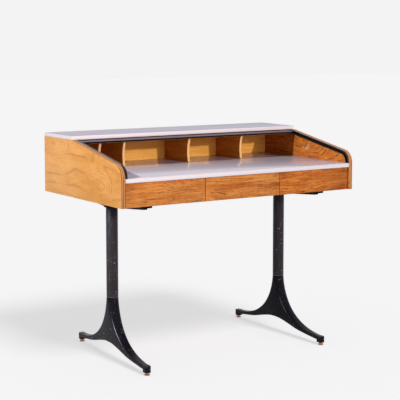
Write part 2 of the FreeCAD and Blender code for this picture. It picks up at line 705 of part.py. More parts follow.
def foot(label, side, turn):
    """Cast foot: a round socket that flares into a front and a rear prong over an arch."""
    body = new_body(label, "%d * column_spread / 2" % side, "column_back", "0", size(turn))
    lofts = []
    for part, stations in (("flare", FLARE), ("prong", PRONG)):
        sections = [foot_section(body, "%s%d" % (part, number), station)
                    for number, station in enumerate(stations)]
        doc.recompute()
        loft = body.newObject("PartDesign::AdditiveLoft", label + "_" + part)
        loft.Profile = sections[0]
        loft.Sections = sections[1:]
        doc.recompute()
        lofts.append(loft)
    toe = new_sketch(body, "toe", "YZ_Plane", (0, 0, -size("toe_width") / 2))
    outline(toe, [
        ("-foot_reach + toe_length", "toe_low"),
        ("-foot_reach", "toe_low"),
        ("-foot_reach", "toe_height - toe_round"),
        ("-foot_reach + toe_round", "toe_height"),
        ("-foot_reach + toe_length", "toe_height"),
    ])
    block = pad(body, toe, "toe_width", "toe_block")
    mirrored = body.newObject("PartDesign::Mirrored", label + "_rear_prong")
    mirrored.Originals = lofts + [block]
    mirrored.MirrorPlane = (origin_plane(body, "XZ_Plane"), [""])
    body.Tip = mirrored
    doc.recompute()
    reach = size("foot_reach")
    round_edges(body, mirrored, lambda edge: is_toe_corner(edge, reach), "toe_corner", "corners")
    spigot = new_sketch(body, "spigot", "XY_Plane", (0, 0, size("foot_height")))
    circle(spigot, "spigot", "0", "0", "spigot_radius")
    pad(body, spigot, "spigot_length", "spigot")
    bore = new_sketch(body, "bore", "XY_Plane", (0, 0, size("foot_height + spigot_length")))
    circle(bore, "bore", "0", "0", "rod_radius + rod_clearance")
    pocket(body, bore, "foot_height + spigot_length", "bore")
    recess = new_sketch(body, "nut_recess", "XY_Plane", (0, 0, size("arch_height - recess_start")))
    circle(recess, "recess", "0", "0", "nut_radius + nut_room")
    pocket(body, recess, "recess_start + nut_inset + nut_height", "recess", reverse=True)
    holes = new_sketch(body, "glide_holes", "XY_Plane", (0, 0, 0))
    circle(holes, "front", "0", "-glide_reach", "glide_stem")
    circle(holes, "rear", "0", "glide_reach", "glide_stem")
    pocket(body, holes, "glide_stem_top", "glide_holes", reverse=True)


def is_toe_corner(edge, reach):
    """Whether an edge is one of the upright edges at the outer ends of the toes."""
    ends = [item.Point for item in edge.Vertexes]
    upright = len(ends) == 2 and abs(ends[0].x - ends[1].x) < NEAR and abs(ends[0].y - ends[1].y) < NEAR
    return upright and abs(abs(ends[0].y) - reach) < NEAR


def glide(label, side, turn, end):
    """Brass glide: a disc on the floor, a hexagon neck to turn it by, and a stem in the toe."""
    angle = math.radians(size(turn))
    reach = end * size("glide_reach")
    body = new_body(label, "%d * column_spread / 2 + %s" % (side, -reach * math.sin(angle)),
                    "column_back + %s" % (reach * math.cos(angle)))
    disc = new_sketch(body, "disc", "XY_Plane")
    circle(disc, "disc", "0", "0", "glide_radius")
    pad(body, disc, "glide_height", "disc")
    neck = new_sketch(body, "neck", "XY_Plane", (0, 0, size("glide_height")))
    hexagon(neck, "glide_neck", "neck")
    pad(body, neck, "toe_low - glide_height", "neck")
    stem = new_sketch(body, "stem", "XY_Plane", (0, 0, size("toe_low")))
    circle(stem, "stem", "0", "0", "glide_stem")
    pad(body, stem, "glide_stem_top - toe_low", "stem")


def hexagon(sketch, radius, name):
    """Regular hexagon round the sketch's origin."""
    outline(sketch, [("%s * cos(%d)" % (radius, turn), "%s * sin(%d)" % (radius, turn))
                     for turn in range(0, 360, 60)], name)


def column(label, side):
    """Steel tube between the cast foot and the bracket under the case."""
    body = new_body(label, "%d * column_spread / 2" % side, "column_back")
    ring = new_sketch(body, "ring", "XY_Plane", (0, 0, size("foot_height")))
    circle(ring, "outer", "0", "0", "column_radius")
    circle(ring, "inner", "0", "0", "column_radius - column_wall")
    tube = pad(body, ring, "spider_low - foot_height", "tube")
    low = size("foot_height")
    width = 2 * size("column_radius")
    bevel = body.newObject("PartDesign::Chamfer", label + "_bevel")
    names = ["Edge%d" % (number + 1) for number, edge in enumerate(tube.Shape.Edges)
             if abs(edge.BoundBox.ZMax - low) < NEAR and abs(edge.BoundBox.XLength - width) < 1]
    bevel.Base = (tube, names)
    bind(bevel, "Size", "column_bevel")
    doc.recompute()


def spider(label, side):
    """Cast bracket under the case: an arm to the front and one to the rear, each ending in a screw lug."""
    body = new_body(label, "%d * column_spread / 2" % side, "column_back")
    arms = new_sketch(body, "arms", "XY_Plane", (0, 0, size("spider_low + hub_flange")))
    outline(arms, [
        ("arm_root / 2", "0"),
        ("arm_tip / 2", "arm_reach"),
        ("-arm_tip / 2", "arm_reach"),
        ("-arm_root / 2", "0"),
        ("-arm_tip / 2", "-arm_reach"),
        ("arm_tip / 2", "-arm_reach"),
    ])
    pad(body, arms, "case_floor - spider_low - hub_flange", "arms")
    for name, sign in (("front", "-"), ("rear", "")):
        wedge = new_sketch(body, name + "_wedge", "YZ_Plane", (0, 0, -size("arm_root / 2")))
        outline(wedge, [
            (sign + "hub_radius", "spider_low + hub_flange"),
            (sign + "arm_reach", "arm_tip_low"),
            (sign + "arm_reach", "spider_low + hub_flange"),
        ])
        pocket(body, wedge, "arm_root", name + "_wedge", reverse=True)
    lugs = new_sketch(body, "lugs", "XY_Plane", (0, 0, size("case_floor - lug_height")))
    circle(lugs, "front", "0", "-lug_reach", "lug_radius")
    circle(lugs, "rear", "0", "lug_reach", "lug_radius")
    pad(body, lugs, "lug_height", "lugs")
    hub = new_sketch(body, "hub", "XY_Plane", (0, 0, size("spider_low")))
    circle(hub, "hub", "0", "0", "hub_radius")
    pad(body, hub, "case_floor - spider_low", "hub")
    spigot = new_sketch(body, "spigot", "XY_Plane", (0, 0, size("spider_low - spigot_length")))
    circle(spigot, "spigot", "0", "0", "spigot_radius")
    pad(body, spigot, "spigot_length", "spigot")
    bore = new_sketch(body, "bore", "XY_Plane", (0, 0, size("case_floor")))
    circle(bore, "bore", "0", "0", "rod_radius + rod_clearance")
    pocket(body, bore, "case_floor - spider_low + spigot_length", "bore")
    recess = new_sketch(body, "recess", "XY_Plane", (0, 0, size("case_floor")))
    circle(recess, "recess", "0", "0", "nut_radius + nut_room")
    pocket(body, recess, "nut_height + rod_inset", "recess")
    holes = new_sketch(body, "screw_holes", "XY_Plane", (0, 0, size("case_floor")))
    circle(holes, "front", "0", "-lug_reach", "lug_hole")
    circle(holes, "rear", "0", "lug_reach", "lug_hole")
    pocket(body, holes, "lug_height", "screw_holes")


def tie_rod(label, side):
    """Rod that clamps foot, tube and bracket together, with a hexagon nut at each end."""
    body = new_body(label, "%d * column_spread / 2" % side, "column_back")
    shank = new_sketch(body, "shank", "XY_Plane", (0, 0, size("arch_height + rod_inset")))
    circle(shank, "shank", "0", "0", "rod_radius")
    pad(body, shank, "case_floor - arch_height - 2 * rod_inset", "shank")
    low_nut = "arch_height + nut_inset"
    high_nut = "case_floor - nut_height - rod_inset"
    for name, height in (("low_nut", low_nut), ("high_nut", high_nut)):
        nut = new_sketch(body, name, "XY_Plane", (0, 0, size(height)))
        hexagon(nut, "nut_radius", name)
        pad(body, nut, "nut_height", name)


def pedestals():
    """Feet, glides, columns, brackets and tie rods."""
    for name, side in (("left", -1), ("right", 1)):
        turn = "foot_turn_" + name
        foot("foot_" + name, side, turn)
        glide("glide_%s_front" % name, side, turn, -1)
        glide("glide_%s_rear" % name, side, turn, 1)
        column("column_" + name, side)
        spider("spider_" + name, side)
        tie_rod("tie_rod_" + name, side)


# ---------------------------------------------------------------- build and write

def check_all():
    """Stop if any object failed or a sub-part has no valid solid."""
    for item in doc.Objects:
        if "Invalid" in item.State or "Error" in item.State:
            raise RuntimeError("%s: %s" % (item.Name, item.State))
    for item in nodes:
        if item.Shape.isNull() or not item.Shape.isValid():
            raise RuntimeError(item.Label + " has no valid shape")


def write_all():
    """Write one STEP file for each sub-part."""
    os.makedirs("parts", exist_ok=True)
    for item in nodes:
        item.Shape.exportStep(os.path.join("parts", item.Label + ".step"))
        print("%-28s %9.1f cm3  solids %d" % (item.Label, item.Shape.Volume / 1000, len(item.Shape.Solids)))


fill_sheet()
side_panel("side_panel_left", -size("case_width / 2"))
side_panel("side_panel_right", size("case_width / 2 - panel_thickness"))
case_boards()
pigeonholes()
tambour(Run())
for place, drawer_name in enumerate(DRAWERS):
    drawer(drawer_name, place)
pedestals()
doc.recompute()
check_all()
write_all()
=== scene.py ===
"""Dressed scene of a tambour desk: plywood case, laminated boards, pigeonholes and pedestals."""

import json
import logging
import math
from dataclasses import dataclass
from enum import Enum
from typing import Callable, Sequence

import bmesh
import bpy
from mathutils import Matrix, Vector

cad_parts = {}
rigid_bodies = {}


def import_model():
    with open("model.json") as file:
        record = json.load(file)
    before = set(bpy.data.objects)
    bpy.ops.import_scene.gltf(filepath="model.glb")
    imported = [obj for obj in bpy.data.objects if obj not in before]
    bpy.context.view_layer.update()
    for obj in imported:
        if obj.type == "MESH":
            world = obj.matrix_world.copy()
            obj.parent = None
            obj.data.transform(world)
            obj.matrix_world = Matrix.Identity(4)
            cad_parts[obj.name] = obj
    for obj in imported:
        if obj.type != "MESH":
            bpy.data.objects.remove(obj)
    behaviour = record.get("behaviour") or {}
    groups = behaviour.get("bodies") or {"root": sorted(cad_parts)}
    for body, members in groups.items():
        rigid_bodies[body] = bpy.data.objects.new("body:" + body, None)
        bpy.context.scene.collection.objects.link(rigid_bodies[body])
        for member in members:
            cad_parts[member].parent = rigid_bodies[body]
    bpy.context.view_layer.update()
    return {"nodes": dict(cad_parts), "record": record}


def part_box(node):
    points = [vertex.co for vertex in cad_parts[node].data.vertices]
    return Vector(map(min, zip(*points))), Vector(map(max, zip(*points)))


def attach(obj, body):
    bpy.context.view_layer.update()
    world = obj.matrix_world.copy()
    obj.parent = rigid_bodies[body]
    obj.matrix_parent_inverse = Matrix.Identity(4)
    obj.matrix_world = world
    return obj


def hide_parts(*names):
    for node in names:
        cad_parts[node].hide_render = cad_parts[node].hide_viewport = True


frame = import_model()

log = logging.getLogger("desk")
MM = 0.001
SMOOTH_ANGLE = math.radians(32)
# Places closer together than this are the same one.
TOUCH = 0.1 * MM
# Fall of the case's upper edge, and where it starts.
SLOPE = math.radians(10.5)
BEND = 66 * MM

Tree = bpy.types.NodeTree
Socket = bpy.types.NodeSocket
Piece = bpy.types.Object
Point = tuple[float, float, float]


def linear(code: str) -> tuple[float, float, float, float]:
    """Turn an sRGB hex colour to linear light.

    Args:
        code: Six hex digits after a hash.

    Returns:
        Red, green, blue and an alpha of one.
    """
    parts = [int(code[place:place + 2], 16) / 255 for place in (1, 3, 5)]
    light = [part / 12.92 if part <= 0.04045 else ((part + 0.055) / 1.055) ** 2.4 for part in parts]
    return (*light, 1.0)


def add(tree: Tree, kind: str, links: dict | None = None, stops: Sequence | None = None,
        out: str | int = 0, **settings) -> Socket | None:
    """Add a node with its settings and links.

    Args:
        tree: The material's or world's node tree.
        kind: Blender's name for the node type, without the leading ShaderNode.
        links: Socket name or number to a source socket or a plain value.
        stops: Place and colour of each stop, for a node with a colour ramp.
        out: Name or number of the output that is wanted.
        **settings: The node's own properties.

    Returns:
        That output, or None for a node that has no outputs.
    """
    item = tree.nodes.new("ShaderNode" + kind)
    for name, value in settings.items():
        setattr(item, name, value)
    for socket, source in (links or {}).items():
        if isinstance(source, Socket):
            tree.links.new(source, item.inputs[socket])
        else:
            item.inputs[socket].default_value = source
    if stops:
        elements = item.color_ramp.elements
        while len(elements) < len(stops):
            elements.new(0.5)
        for element, (place, colour) in zip(elements, stops):
            element.position = place
            element.color = colour if isinstance(colour, tuple) else (colour, colour, colour, 1.0)
    return item.outputs[out] if item.outputs else None


# ---------------- patterns

# A size is one feature's, in metres. A noise's scale is the number of its features in a metre.

class Grain(Enum):
    """Direction in which a surface's fibres or marks run."""

    ACROSS_DESK = (1, 0, 0)
    FRONT_TO_BACK = (0, 1, 0)
    UPRIGHT = (0, 0, 1)

    def noise(self, tree: Tree, place: Socket, size: tuple[float, float], detail: float,
              roughness: float = 0.5) -> Socket:
        """Noise whose features are drawn out along this direction.

        Args:
            tree: The material's node tree.
            place: Where each point of the surface is.
            size: Width and length of a feature, in metres.
            detail: Octaves of the noise.
            roughness: Strength of the finer octaves.

        Returns:
            The noise's value.
        """
        width, length = size
        scale = [1 / length if along else 1 / width for along in self.value]
        mapped = add(tree, "Mapping", {"Vector": place, "Scale": Vector(scale)})
        return add(tree, "TexNoise", {
            "Vector": mapped, "Scale": 1.0, "Detail": detail, "Roughness": roughness,
        })


@dataclass(frozen=True)
class Spot:
    """A place where a pattern changes, such as the eye of a knot or a rubbed patch."""

    centre: Point
    reach: float
    peak: float
    squeeze: Point

    def hill(self, tree: Tree, place: Socket, start: float = 0.0,
             fall: str = "SMOOTHERSTEP") -> Socket:
        """Value that falls from the spot's peak to nought at its reach.

        Args:
            tree: The material's node tree.
            place: Where each point of the surface is.
            start: Share of the reach at which the fall starts.
            fall: Blender's name for the shape of the fall.

        Returns:
            The value.
        """
        apart = add(tree, "VectorMath", {0: place, 1: self.centre}, operation="SUBTRACT")
        squeezed = add(tree, "VectorMath", {0: apart, 1: self.squeeze}, operation="MULTIPLY")
        away = add(tree, "VectorMath", {0: squeezed}, out="Value", operation="LENGTH")
        return add(tree, "MapRange", {
            "Value": away, "From Min": start * self.reach,
            "From Max": self.reach, "To Min": self.peak, "To Max": 0.0,
        }, interpolation_type=fall)


@dataclass(frozen=True)
class Streaks:
    """Marks of one colour that show where a noise along the grain runs high.

    The size is a mark's width and length in metres, the marks start at the first value of the
    noise and are full at the second, and the strength is the share of colour in a full mark.
    """

    colour: str
    size: tuple[float, float]
    values: tuple[float, float]
    strength: float
    detail: float = 3.0
    roughness: float = 0.5

    def over(self, tree: Tree, place: Socket, grain: Grain,
             under: Socket | tuple) -> tuple[Socket, Socket]:
        """Lay the marks over a colour.

        Args:
            tree: The material's node tree.
            place: Where each point of the surface is.
            grain: Direction of the marks.
            under: The colour under them.

        Returns:
            The new colour, and the noise that the marks follow.
        """
        noise = grain.noise(tree, place, self.size, self.detail, self.roughness)
        amount = add(tree, "MapRange", {
            "Value": noise, "From Min": self.values[0], "From Max": self.values[1],
            "To Min": 0.0, "To Max": self.strength,
        })
        colour = add(tree, "Mix", {
            0: amount, 6: under, 7: linear(self.colour),
        }, out=2, data_type="RGBA")
        return colour, noise


def pushed(tree: Tree, place: Socket, scale: float, detail: float, most: float) -> Socket:
    """Push places about by a soft noise.

    Args:
        tree: The material's node tree.
        place: Where each point of the surface is.
        scale: Features of the noise in a metre.
        detail: Octaves of the noise.
        most: The furthest push along each axis, in metres.

    Returns:
        The new places.
    """
    noise = add(tree, "TexNoise", {"Vector": place, "Scale": scale, "Detail": detail},
                out="Color")
    centred = add(tree, "VectorMath", {0: noise, 1: (0.5,) * 3}, operation="SUBTRACT")
    push = add(tree, "VectorMath", {0: centred, 1: (2 * most,) * 3}, operation="MULTIPLY")
    return add(tree, "VectorMath", {0: place, 1: push}, operation="ADD")


# ---------------- finishes

@dataclass(frozen=True)
class Finish:
    """A surface finish: its name and what its shader's own sockets hold."""

    name: str
    roughness: float
    metallic: float = 0.0
    ior: float = 1.5

    def material(self) -> bpy.types.Material:
        """Make the material once and give it out again later."""
        made = bpy.data.materials.get(self.name)
        if made:
            return made
        made = bpy.data.materials.new(self.name)
        made.use_nodes = True
        tree = made.node_tree
        tree.nodes.clear()
        shader = add(tree, "BsdfPrincipled", {
            "Roughness": self.roughness, "Metallic": self.metallic, "IOR": self.ior,
        })
        add(tree, "OutputMaterial", {"Surface": shader})
        place = add(tree, "TexCoord", out="Object")
        for socket, source in self.paint(tree, place).items():
            tree.links.new(source, shader.node.inputs[socket])
        return made

    def paint(self, tree: Tree, place: Socket) -> dict[str, Socket]:
        """Add the nodes that give the finish its colour, gloss and relief.

        Args:
            tree: The material's node tree.
            place: Where each point of the surface is.

        Returns:
            The source of each of the shader's sockets that a pattern drives.
        """
        raise NotImplementedError


@dataclass(frozen=True, kw_only=True)
class RotaryVeneer(Finish):
    """Rotary-cut ash: the growth rings show as thin contour lines on a honey ground."""

    light: str = "#F3B56B"
    warm: str = "#E39F51"
    line: str = "#AE6A2C"
    grain: Grain = Grain.FRONT_TO_BACK
    spacing: float = 64 * MM
    sway: float = 3.0
    figure: tuple[float, float] = (150 * MM, 340 * MM)
    strength: tuple[float, float] = (0.15, 0.66)
    wobble: float = 9 * MM
    eyes: tuple[Spot, ...] = ()

    def paint(self, tree: Tree, place: Socket) -> dict[str, Socket]:
        """Contour lines that sway with height and close round the eyes, over fine fibres."""
        ring = add(tree, "Math", {0: self.contour(tree, place)}, operation="FRACT")
        line = add(tree, "ValToRGB", {"Fac": ring},
                   stops=((0.0, 0.14), (0.22, 0.0), (0.76, 0.12), (0.92, 1.0), (1.0, 0.14)))
        patch = add(tree, "TexNoise", {"Vector": place, "Scale": 9.0, "Detail": 2.0})
        depth = add(tree, "MapRange", {
            "Value": patch, "From Min": 0.35, "From Max": 0.68,
            "To Min": self.strength[0], "To Max": self.strength[1],
        })
        amount = add(tree, "Math", {0: line, 1: depth}, operation="MULTIPLY")
        clouds = Streaks(self.warm, (40 * MM, 130 * MM), (0.32, 0.66), 1.0)
        ground, _ = clouds.over(tree, place, self.grain, linear(self.light))
        marked = add(tree, "Mix", {
            0: amount, 6: ground, 7: linear(self.line),
        }, out=2, data_type="RGBA")
        # Real fibres are finer: these are as coarse as they need to be to show.
        fibres = Streaks(self.line, (2.6 * MM, 30 * MM), (0.50, 0.78), 0.42, 2.0, 0.6)
        colour, noise = fibres.over(tree, place, self.grain, marked)
        relief = add(tree, "Bump", {"Height": noise, "Strength": 0.10, "Distance": 0.15 * MM})
        return {"Base Color": colour, "Normal": relief}

    def contour(self, tree: Tree, place: Socket) -> Socket:
        """Number the growth rings.

        Args:
            tree: The material's node tree.
            place: Where each point of the surface is.

        Returns:
            Height in spacings, with a slow sway and an uneven hill at every eye.
        """
        uneven = pushed(tree, place, 26.0, 2.0, self.wobble)
        height = add(tree, "SeparateXYZ", {0: place}, out="Z")
        rise = add(tree, "Math", {0: height, 1: 1 / self.spacing}, operation="MULTIPLY")
        drift = self.grain.noise(tree, place, self.figure, 2.2, 0.38)
        total = add(tree, "Math", {0: drift, 1: self.sway, 2: rise}, operation="MULTIPLY_ADD")
        for eye in self.eyes:
            total = add(tree, "Math", {0: total, 1: eye.hill(tree, uneven)}, operation="ADD")
        return total


@dataclass(frozen=True, kw_only=True)
class StreakedVeneer(Finish):
    """Sliced veneer: bands along the grain, dark figure lines between them and short pores."""

    light: str
    mid: str
    dark: str
    deep: str = "#A4501E"
    grain: Grain = Grain.ACROSS_DESK
    band: float = 11 * MM
    run: float = 230 * MM
    wander: float = 6 * MM
    contrast: float = 0.74
    figure: float = 0.66
    tide: float = 0.55
    # Real pores are a few tenths of a millimetre wide: these are coarse enough to show.
    pore: tuple[float, float] = (1.5 * MM, 20 * MM)
    ribbon: float = 0.16
    rubbed: str = "#DDB290"
    eyes: tuple[Spot, ...] = ()
    rubs: tuple[Spot, ...] = ()

    def paint(self, tree: Tree, place: Socket) -> dict[str, Socket]:
        """Bands, then wide deeper ones, cross ribbons, figure lines, pores and rubbed places."""
        moved = self.moved(tree, place)
        bands = self.grain.noise(tree, moved, (self.band, self.run), 4.0, 0.60)
        colour = add(tree, "ValToRGB", {"Fac": bands}, stops=(
            (0.30, linear(self.mid)), (0.46, linear(self.light)),
            (0.56, linear(self.mid)), (0.72, linear(self.light)),
        ))
        tides = Streaks(self.deep, (3.2 * self.band, 1.3 * self.run), (0.44, 0.62), self.tide)
        ribbons = Streaks(self.light, (120 * MM, 15 * MM), (0.42, 0.66), self.ribbon, 2.0)
        lines = Streaks(self.dark, (0.25 * self.band, 0.5 * self.run), (0.55, 0.68),
                        self.figure, 3.0, 0.55)
        pores = Streaks(self.dark, self.pore, (0.54, 0.68), self.contrast, 2.0, 0.65)
        for marks, where in ((tides, moved), (ribbons, place), (lines, moved), (pores, moved)):
            colour, noise = marks.over(tree, where, self.grain, colour)
        # The pores come last, so the relief follows them.
        relief = add(tree, "Bump", {"Height": noise, "Strength": 0.12, "Distance": 0.15 * MM})
        for rub in self.rubs:
            colour = self.scratched(tree, place, rub, colour)
        return {"Base Color": colour, "Normal": relief}

    def scratched(self, tree: Tree, place: Socket, rub: Spot, under: Socket) -> Socket:
        """Lay pale broken scratches over a colour.

        Args:
            tree: The material's node tree.
            place: Where each point of the surface is.
            rub: The rubbed place.
            under: The colour under the scratches.

        Returns:
            The new colour.
        """
        near = rub.hill(tree, place, start=0.3, fall="LINEAR")
        broken = add(tree, "TexNoise", {"Vector": place, "Scale": 130.0, "Detail": 3.0})
        kept = add(tree, "MapRange", {"Value": broken, "From Min": 0.44, "From Max": 0.54})
        amount = add(tree, "Math", {0: near, 1: kept}, operation="MULTIPLY")
        return add(tree, "Mix", {
            0: amount, 6: under, 7: linear(self.rubbed),
        }, out=2, data_type="RGBA")

    def moved(self, tree: Tree, place: Socket) -> Socket:
        """Push the figure's places about.

        Args:
            tree: The material's node tree.
            place: Where each point of the surface is.

        Returns:
            Places moved by a slow noise, and raised at each eye so that the grain parts there.
        """
        total = pushed(tree, place, 4.0, 1.4, self.wander)
        for eye in self.eyes:
            lifted = add(tree, "CombineXYZ", {"Z": eye.hill(tree, place)})
            total = add(tree, "VectorMath", {0: total, 1: lifted}, operation="ADD")
        return total


@dataclass(frozen=True, kw_only=True)
class PlyEdge(Finish):
    """Cut edge of plywood: end grain and long grain in turn through the thickness."""

    pale: str = "#DB9961"
    deep: str = "#7E4A2C"
    # Thicker than most real plies, so that they show.
    ply: float = 3.4 * MM
    across: Point = (1.0, 0.0, 0.0)

    def paint(self, tree: Tree, place: Socket) -> dict[str, Socket]:
        """Stripes across the thickness, broken by fine end grain."""
        depth = add(tree, "VectorMath", {0: place, 1: self.across}, out="Value",
                    operation="DOT_PRODUCT")
        count = add(tree, "Math", {0: depth, 1: 1 / (2 * self.ply)}, operation="MULTIPLY")
        layer = add(tree, "Math", {0: count}, operation="FRACT")
        pale, deep = linear(self.pale), linear(self.deep)
        stripe = add(tree, "ValToRGB", {"Fac": layer}, stops=(
            (0.0, pale), (0.44, pale), (0.50, deep), (0.94, deep), (1.0, pale)))
        grain = add(tree, "TexNoise", {
            "Vector": place, "Scale": 420.0, "Detail": 2.0,
        }, out="Color")
        return {"Base Color": add(tree, "Mix", {0: 0.35, 6: stripe, 7: grain},
                                  out=2, data_type="RGBA", blend_type="SOFT_LIGHT")}


@dataclass(frozen=True, kw_only=True)
class Laminate(Finish):
    """High-pressure laminate: a hard gloss sheet, hazy where it has been wiped."""

    colour: str
    haze: str

    def paint(self, tree: Tree, place: Socket) -> dict[str, Socket]:
        """Slow haze in the colour, and gloss dulled in long wiped patches."""
        cloud = add(tree, "TexNoise", {"Vector": place, "Scale": 4.0, "Detail": 3.0})
        colour = add(tree, "Mix", {
            0: cloud, 6: linear(self.colour), 7: linear(self.haze),
        }, out=2, data_type="RGBA")
        wiped = Grain.ACROSS_DESK.noise(tree, place, (30 * MM, 240 * MM), 3.0)
        gloss = add(tree, "MapRange", {
            "Value": wiped, "From Min": 0.3, "From Max": 0.7,
            "To Min": self.roughness, "To Max": self.roughness + 0.04,
        })
        return {"Base Color": colour, "Roughness": gloss}


@dataclass(frozen=True, kw_only=True)
class EdgeBand(Finish):
    """Laminated edge: a white band with the dark joint of the top sheet along it."""

    joint_height: float
    colour: str = "#EAE2E6"
    joint: str = "#C8A8B0"
    joint_half: float = 0.7 * MM

    def paint(self, tree: Tree, place: Socket) -> dict[str, Socket]:
        """A thin line at the height of the joint, uneven along its length."""
        height = add(tree, "SeparateXYZ", {0: place}, out="Z")
        off = add(tree, "Math", {0: height, 1: self.joint_height}, operation="SUBTRACT")
        near = add(tree, "Math", {0: off}, operation="ABSOLUTE")
        line = add(tree, "MapRange", {
            "Value": near, "To Min": 1.0, "To Max": 0.0,
            "From Min": self.joint_half, "From Max": 1.6 * self.joint_half,
        })
        uneven = add(tree, "TexNoise", {"Vector": place, "Scale": 90.0, "Detail": 2.0})
        amount = add(tree, "Math", {0: line, 1: uneven}, operation="MULTIPLY")
        colour = add(tree, "Mix", {
            0: amount, 6: linear(self.colour), 7: linear(self.joint),
        }, out=2, data_type="RGBA")
        return {"Base Color": colour}


@dataclass(frozen=True, kw_only=True)
class Enamel(Finish):
    """Stoved black enamel, worn with use: pale chips and thin scuffs in the gloss."""

    colour: str
    wear: float
    worn: str = "#6A6570"
    speck: float = 7 * MM

    def paint(self, tree: Tree, place: Socket) -> dict[str, Socket]:
        """Scattered chips, long thin scuffs, and a gloss that is duller in patches."""
        chips = add(tree, "TexVoronoi", {"Vector": place, "Scale": 1 / self.speck})
        chip = add(tree, "MapRange", {
            "Value": chips, "From Min": 0.10, "From Max": 0.19,
            "To Min": 1.0, "To Max": 0.0,
        })
        patch = add(tree, "TexNoise", {"Vector": place, "Scale": 28.0, "Detail": 3.0})
        where = add(tree, "MapRange", {
            "Value": patch, "From Min": 0.47, "From Max": 0.60,
            "To Min": 0.0, "To Max": 0.9,
        })
        chipped = add(tree, "Math", {0: chip, 1: where}, operation="MULTIPLY")
        scuff_map = add(tree, "Mapping", {
            "Vector": place, "Rotation": (0.35, 0.2, 0.0), "Scale": (260, 260, 22),
        })
        scuffs = add(tree, "TexNoise", {"Vector": scuff_map, "Scale": 1.0, "Detail": 1.0})
        scuff = add(tree, "MapRange", {
            "Value": scuffs, "From Min": 0.66, "From Max": 0.76,
            "To Min": 0.0, "To Max": self.wear,
        })
        marks = add(tree, "Math", {0: chipped, 1: scuff}, operation="MAXIMUM")
        colour = add(tree, "Mix", {
            0: marks, 6: linear(self.colour), 7: linear(self.worn),
        }, out=2, data_type="RGBA")
        gloss = add(tree, "MapRange", {
            "Value": patch, "From Min": 0.3, "From Max": 0.7,
            "To Min": self.roughness - 0.06, "To Max": self.roughness + 0.10,
        })
        return {"Base Color": colour, "Roughness": gloss}


@dataclass(frozen=True, kw_only=True)
class TurnedMetal(Finish):
    """Metal turned on a lathe and dulled by use: uneven tarnish in the colour and gloss."""

    colour: str
    tarnish: str
    patch: float = 9 * MM

    def paint(self, tree: Tree, place: Socket) -> dict[str, Socket]:
        """Tarnish in patches, rougher where it is darker."""
        cloud = add(tree, "TexNoise", {
            "Vector": place, "Scale": 1 / self.patch, "Detail": 4.0, "Roughness": 0.6,
        })
        colour = add(tree, "Mix", {
            0: cloud, 6: linear(self.colour), 7: linear(self.tarnish),
        }, out=2, data_type="RGBA")
        gloss = add(tree, "MapRange", {
            "Value": cloud,
            "To Min": self.roughness - 0.08, "To Max": self.roughness + 0.15,
        })
        return {"Base Color": colour, "Roughness": gloss}


# Honey ash of the side panels: an eye near the front, a long flame near the rear.
ASH = RotaryVeneer("ash_rotary_veneer", 0.45, ior=1.25, eyes=(
    Spot((0.0, -0.133, 0.714), 0.026, 1.5, (0.0, 0.56, 1.0)),
    Spot((0.0, -0.158, 0.694), 0.076, 4.2, (0.0, 0.60, 0.92)),
    Spot((0.0, -0.100, 0.772), 0.075, 1.4, (0.0, 1.05, 0.9)),
    Spot((0.0, 0.225, 0.822), 0.075, 3.4, (0.0, 0.42, 1.5)),
))
# The same ash, laid across the outer back: level rings with a slow sway and no eye.
ASH_BACK = RotaryVeneer("ash_back_veneer", 0.45, ior=1.3, grain=Grain.ACROSS_DESK)
# Reddish rosewood inside the side panels: a swirl and an arch of figure, and two pale rubs.
INNER_ROSEWOOD = StreakedVeneer(
    "rosewood_inner_veneer", 0.42, ior=1.2, grain=Grain.FRONT_TO_BACK,
    light="#D48438", mid="#B86630", dark="#38140A", deep="#94501E",
    band=19 * MM, run=170 * MM, wander=16 * MM, figure=0.92,
    eyes=(Spot((0.0, -0.035, 0.779), 0.105, 0.046, (0.0, 0.55, 1.0)),
          Spot((0.0, -0.165, 0.728), 0.070, 0.034, (0.0, 0.50, 1.0))),
    rubs=(Spot((0.517, -0.030, 0.778), 0.009, 0.85, (1.0, 0.30, 1.0)),
          Spot((0.517, -0.046, 0.789), 0.008, 0.70, (1.0, 0.90, 0.55))))
# Orange-brown rosewood of the left front, quiet and full of short dark pores.
FRONT_ROSEWOOD = StreakedVeneer(
    "rosewood_front_veneer", 0.42, ior=1.2,
    light="#E0944C", mid="#CA7434", dark="#64280C", deep="#A84E1E", tide=0.45,
    eyes=(Spot((-0.290, 0.0, 0.690), 0.034, 0.008, (0.6, 0.0, 1.0)),))
# The middle front, redder above and golden below, where an arch of figure starts.
MIDDLE_ROSEWOOD = StreakedVeneer(
    "rosewood_golden_front_veneer", 0.42, ior=1.2,
    light="#E0964C", mid="#C87636", dark="#642A0E", deep="#A44E20", tide=0.75,
    eyes=(Spot((-0.07, 0.0, 0.628), 0.055, 0.018, (0.45, 0.0, 1.0)),
          Spot((0.115, 0.0, 0.662), 0.022, 0.008, (0.5, 0.0, 1.0))))
# The right front, the deepest in colour, with flames along its lower half.
RIGHT_ROSEWOOD = StreakedVeneer(
    "rosewood_flamed_front_veneer", 0.42, ior=1.2,
    light="#D8823A", mid="#B66228", dark="#54200A", deep="#8C3E16", tide=0.7, band=15 * MM,
    eyes=(Spot((0.30, 0.0, 0.632), 0.060, 0.018, (0.30, 0.0, 1.0)),
          Spot((0.45, 0.0, 0.690), 0.050, 0.010, (0.32, 0.0, 1.0))))
# Light quiet veneer on the pigeonholes' back and roof, with wide soft bands.
PALE_VENEER = StreakedVeneer(
    "pale_inner_veneer", 0.46, ior=1.25,
    light="#EFB15C", mid="#E09E4A", dark="#B07230", deep="#CC8C3C",
    band=22 * MM, contrast=0.25, figure=0.15, tide=0.3)
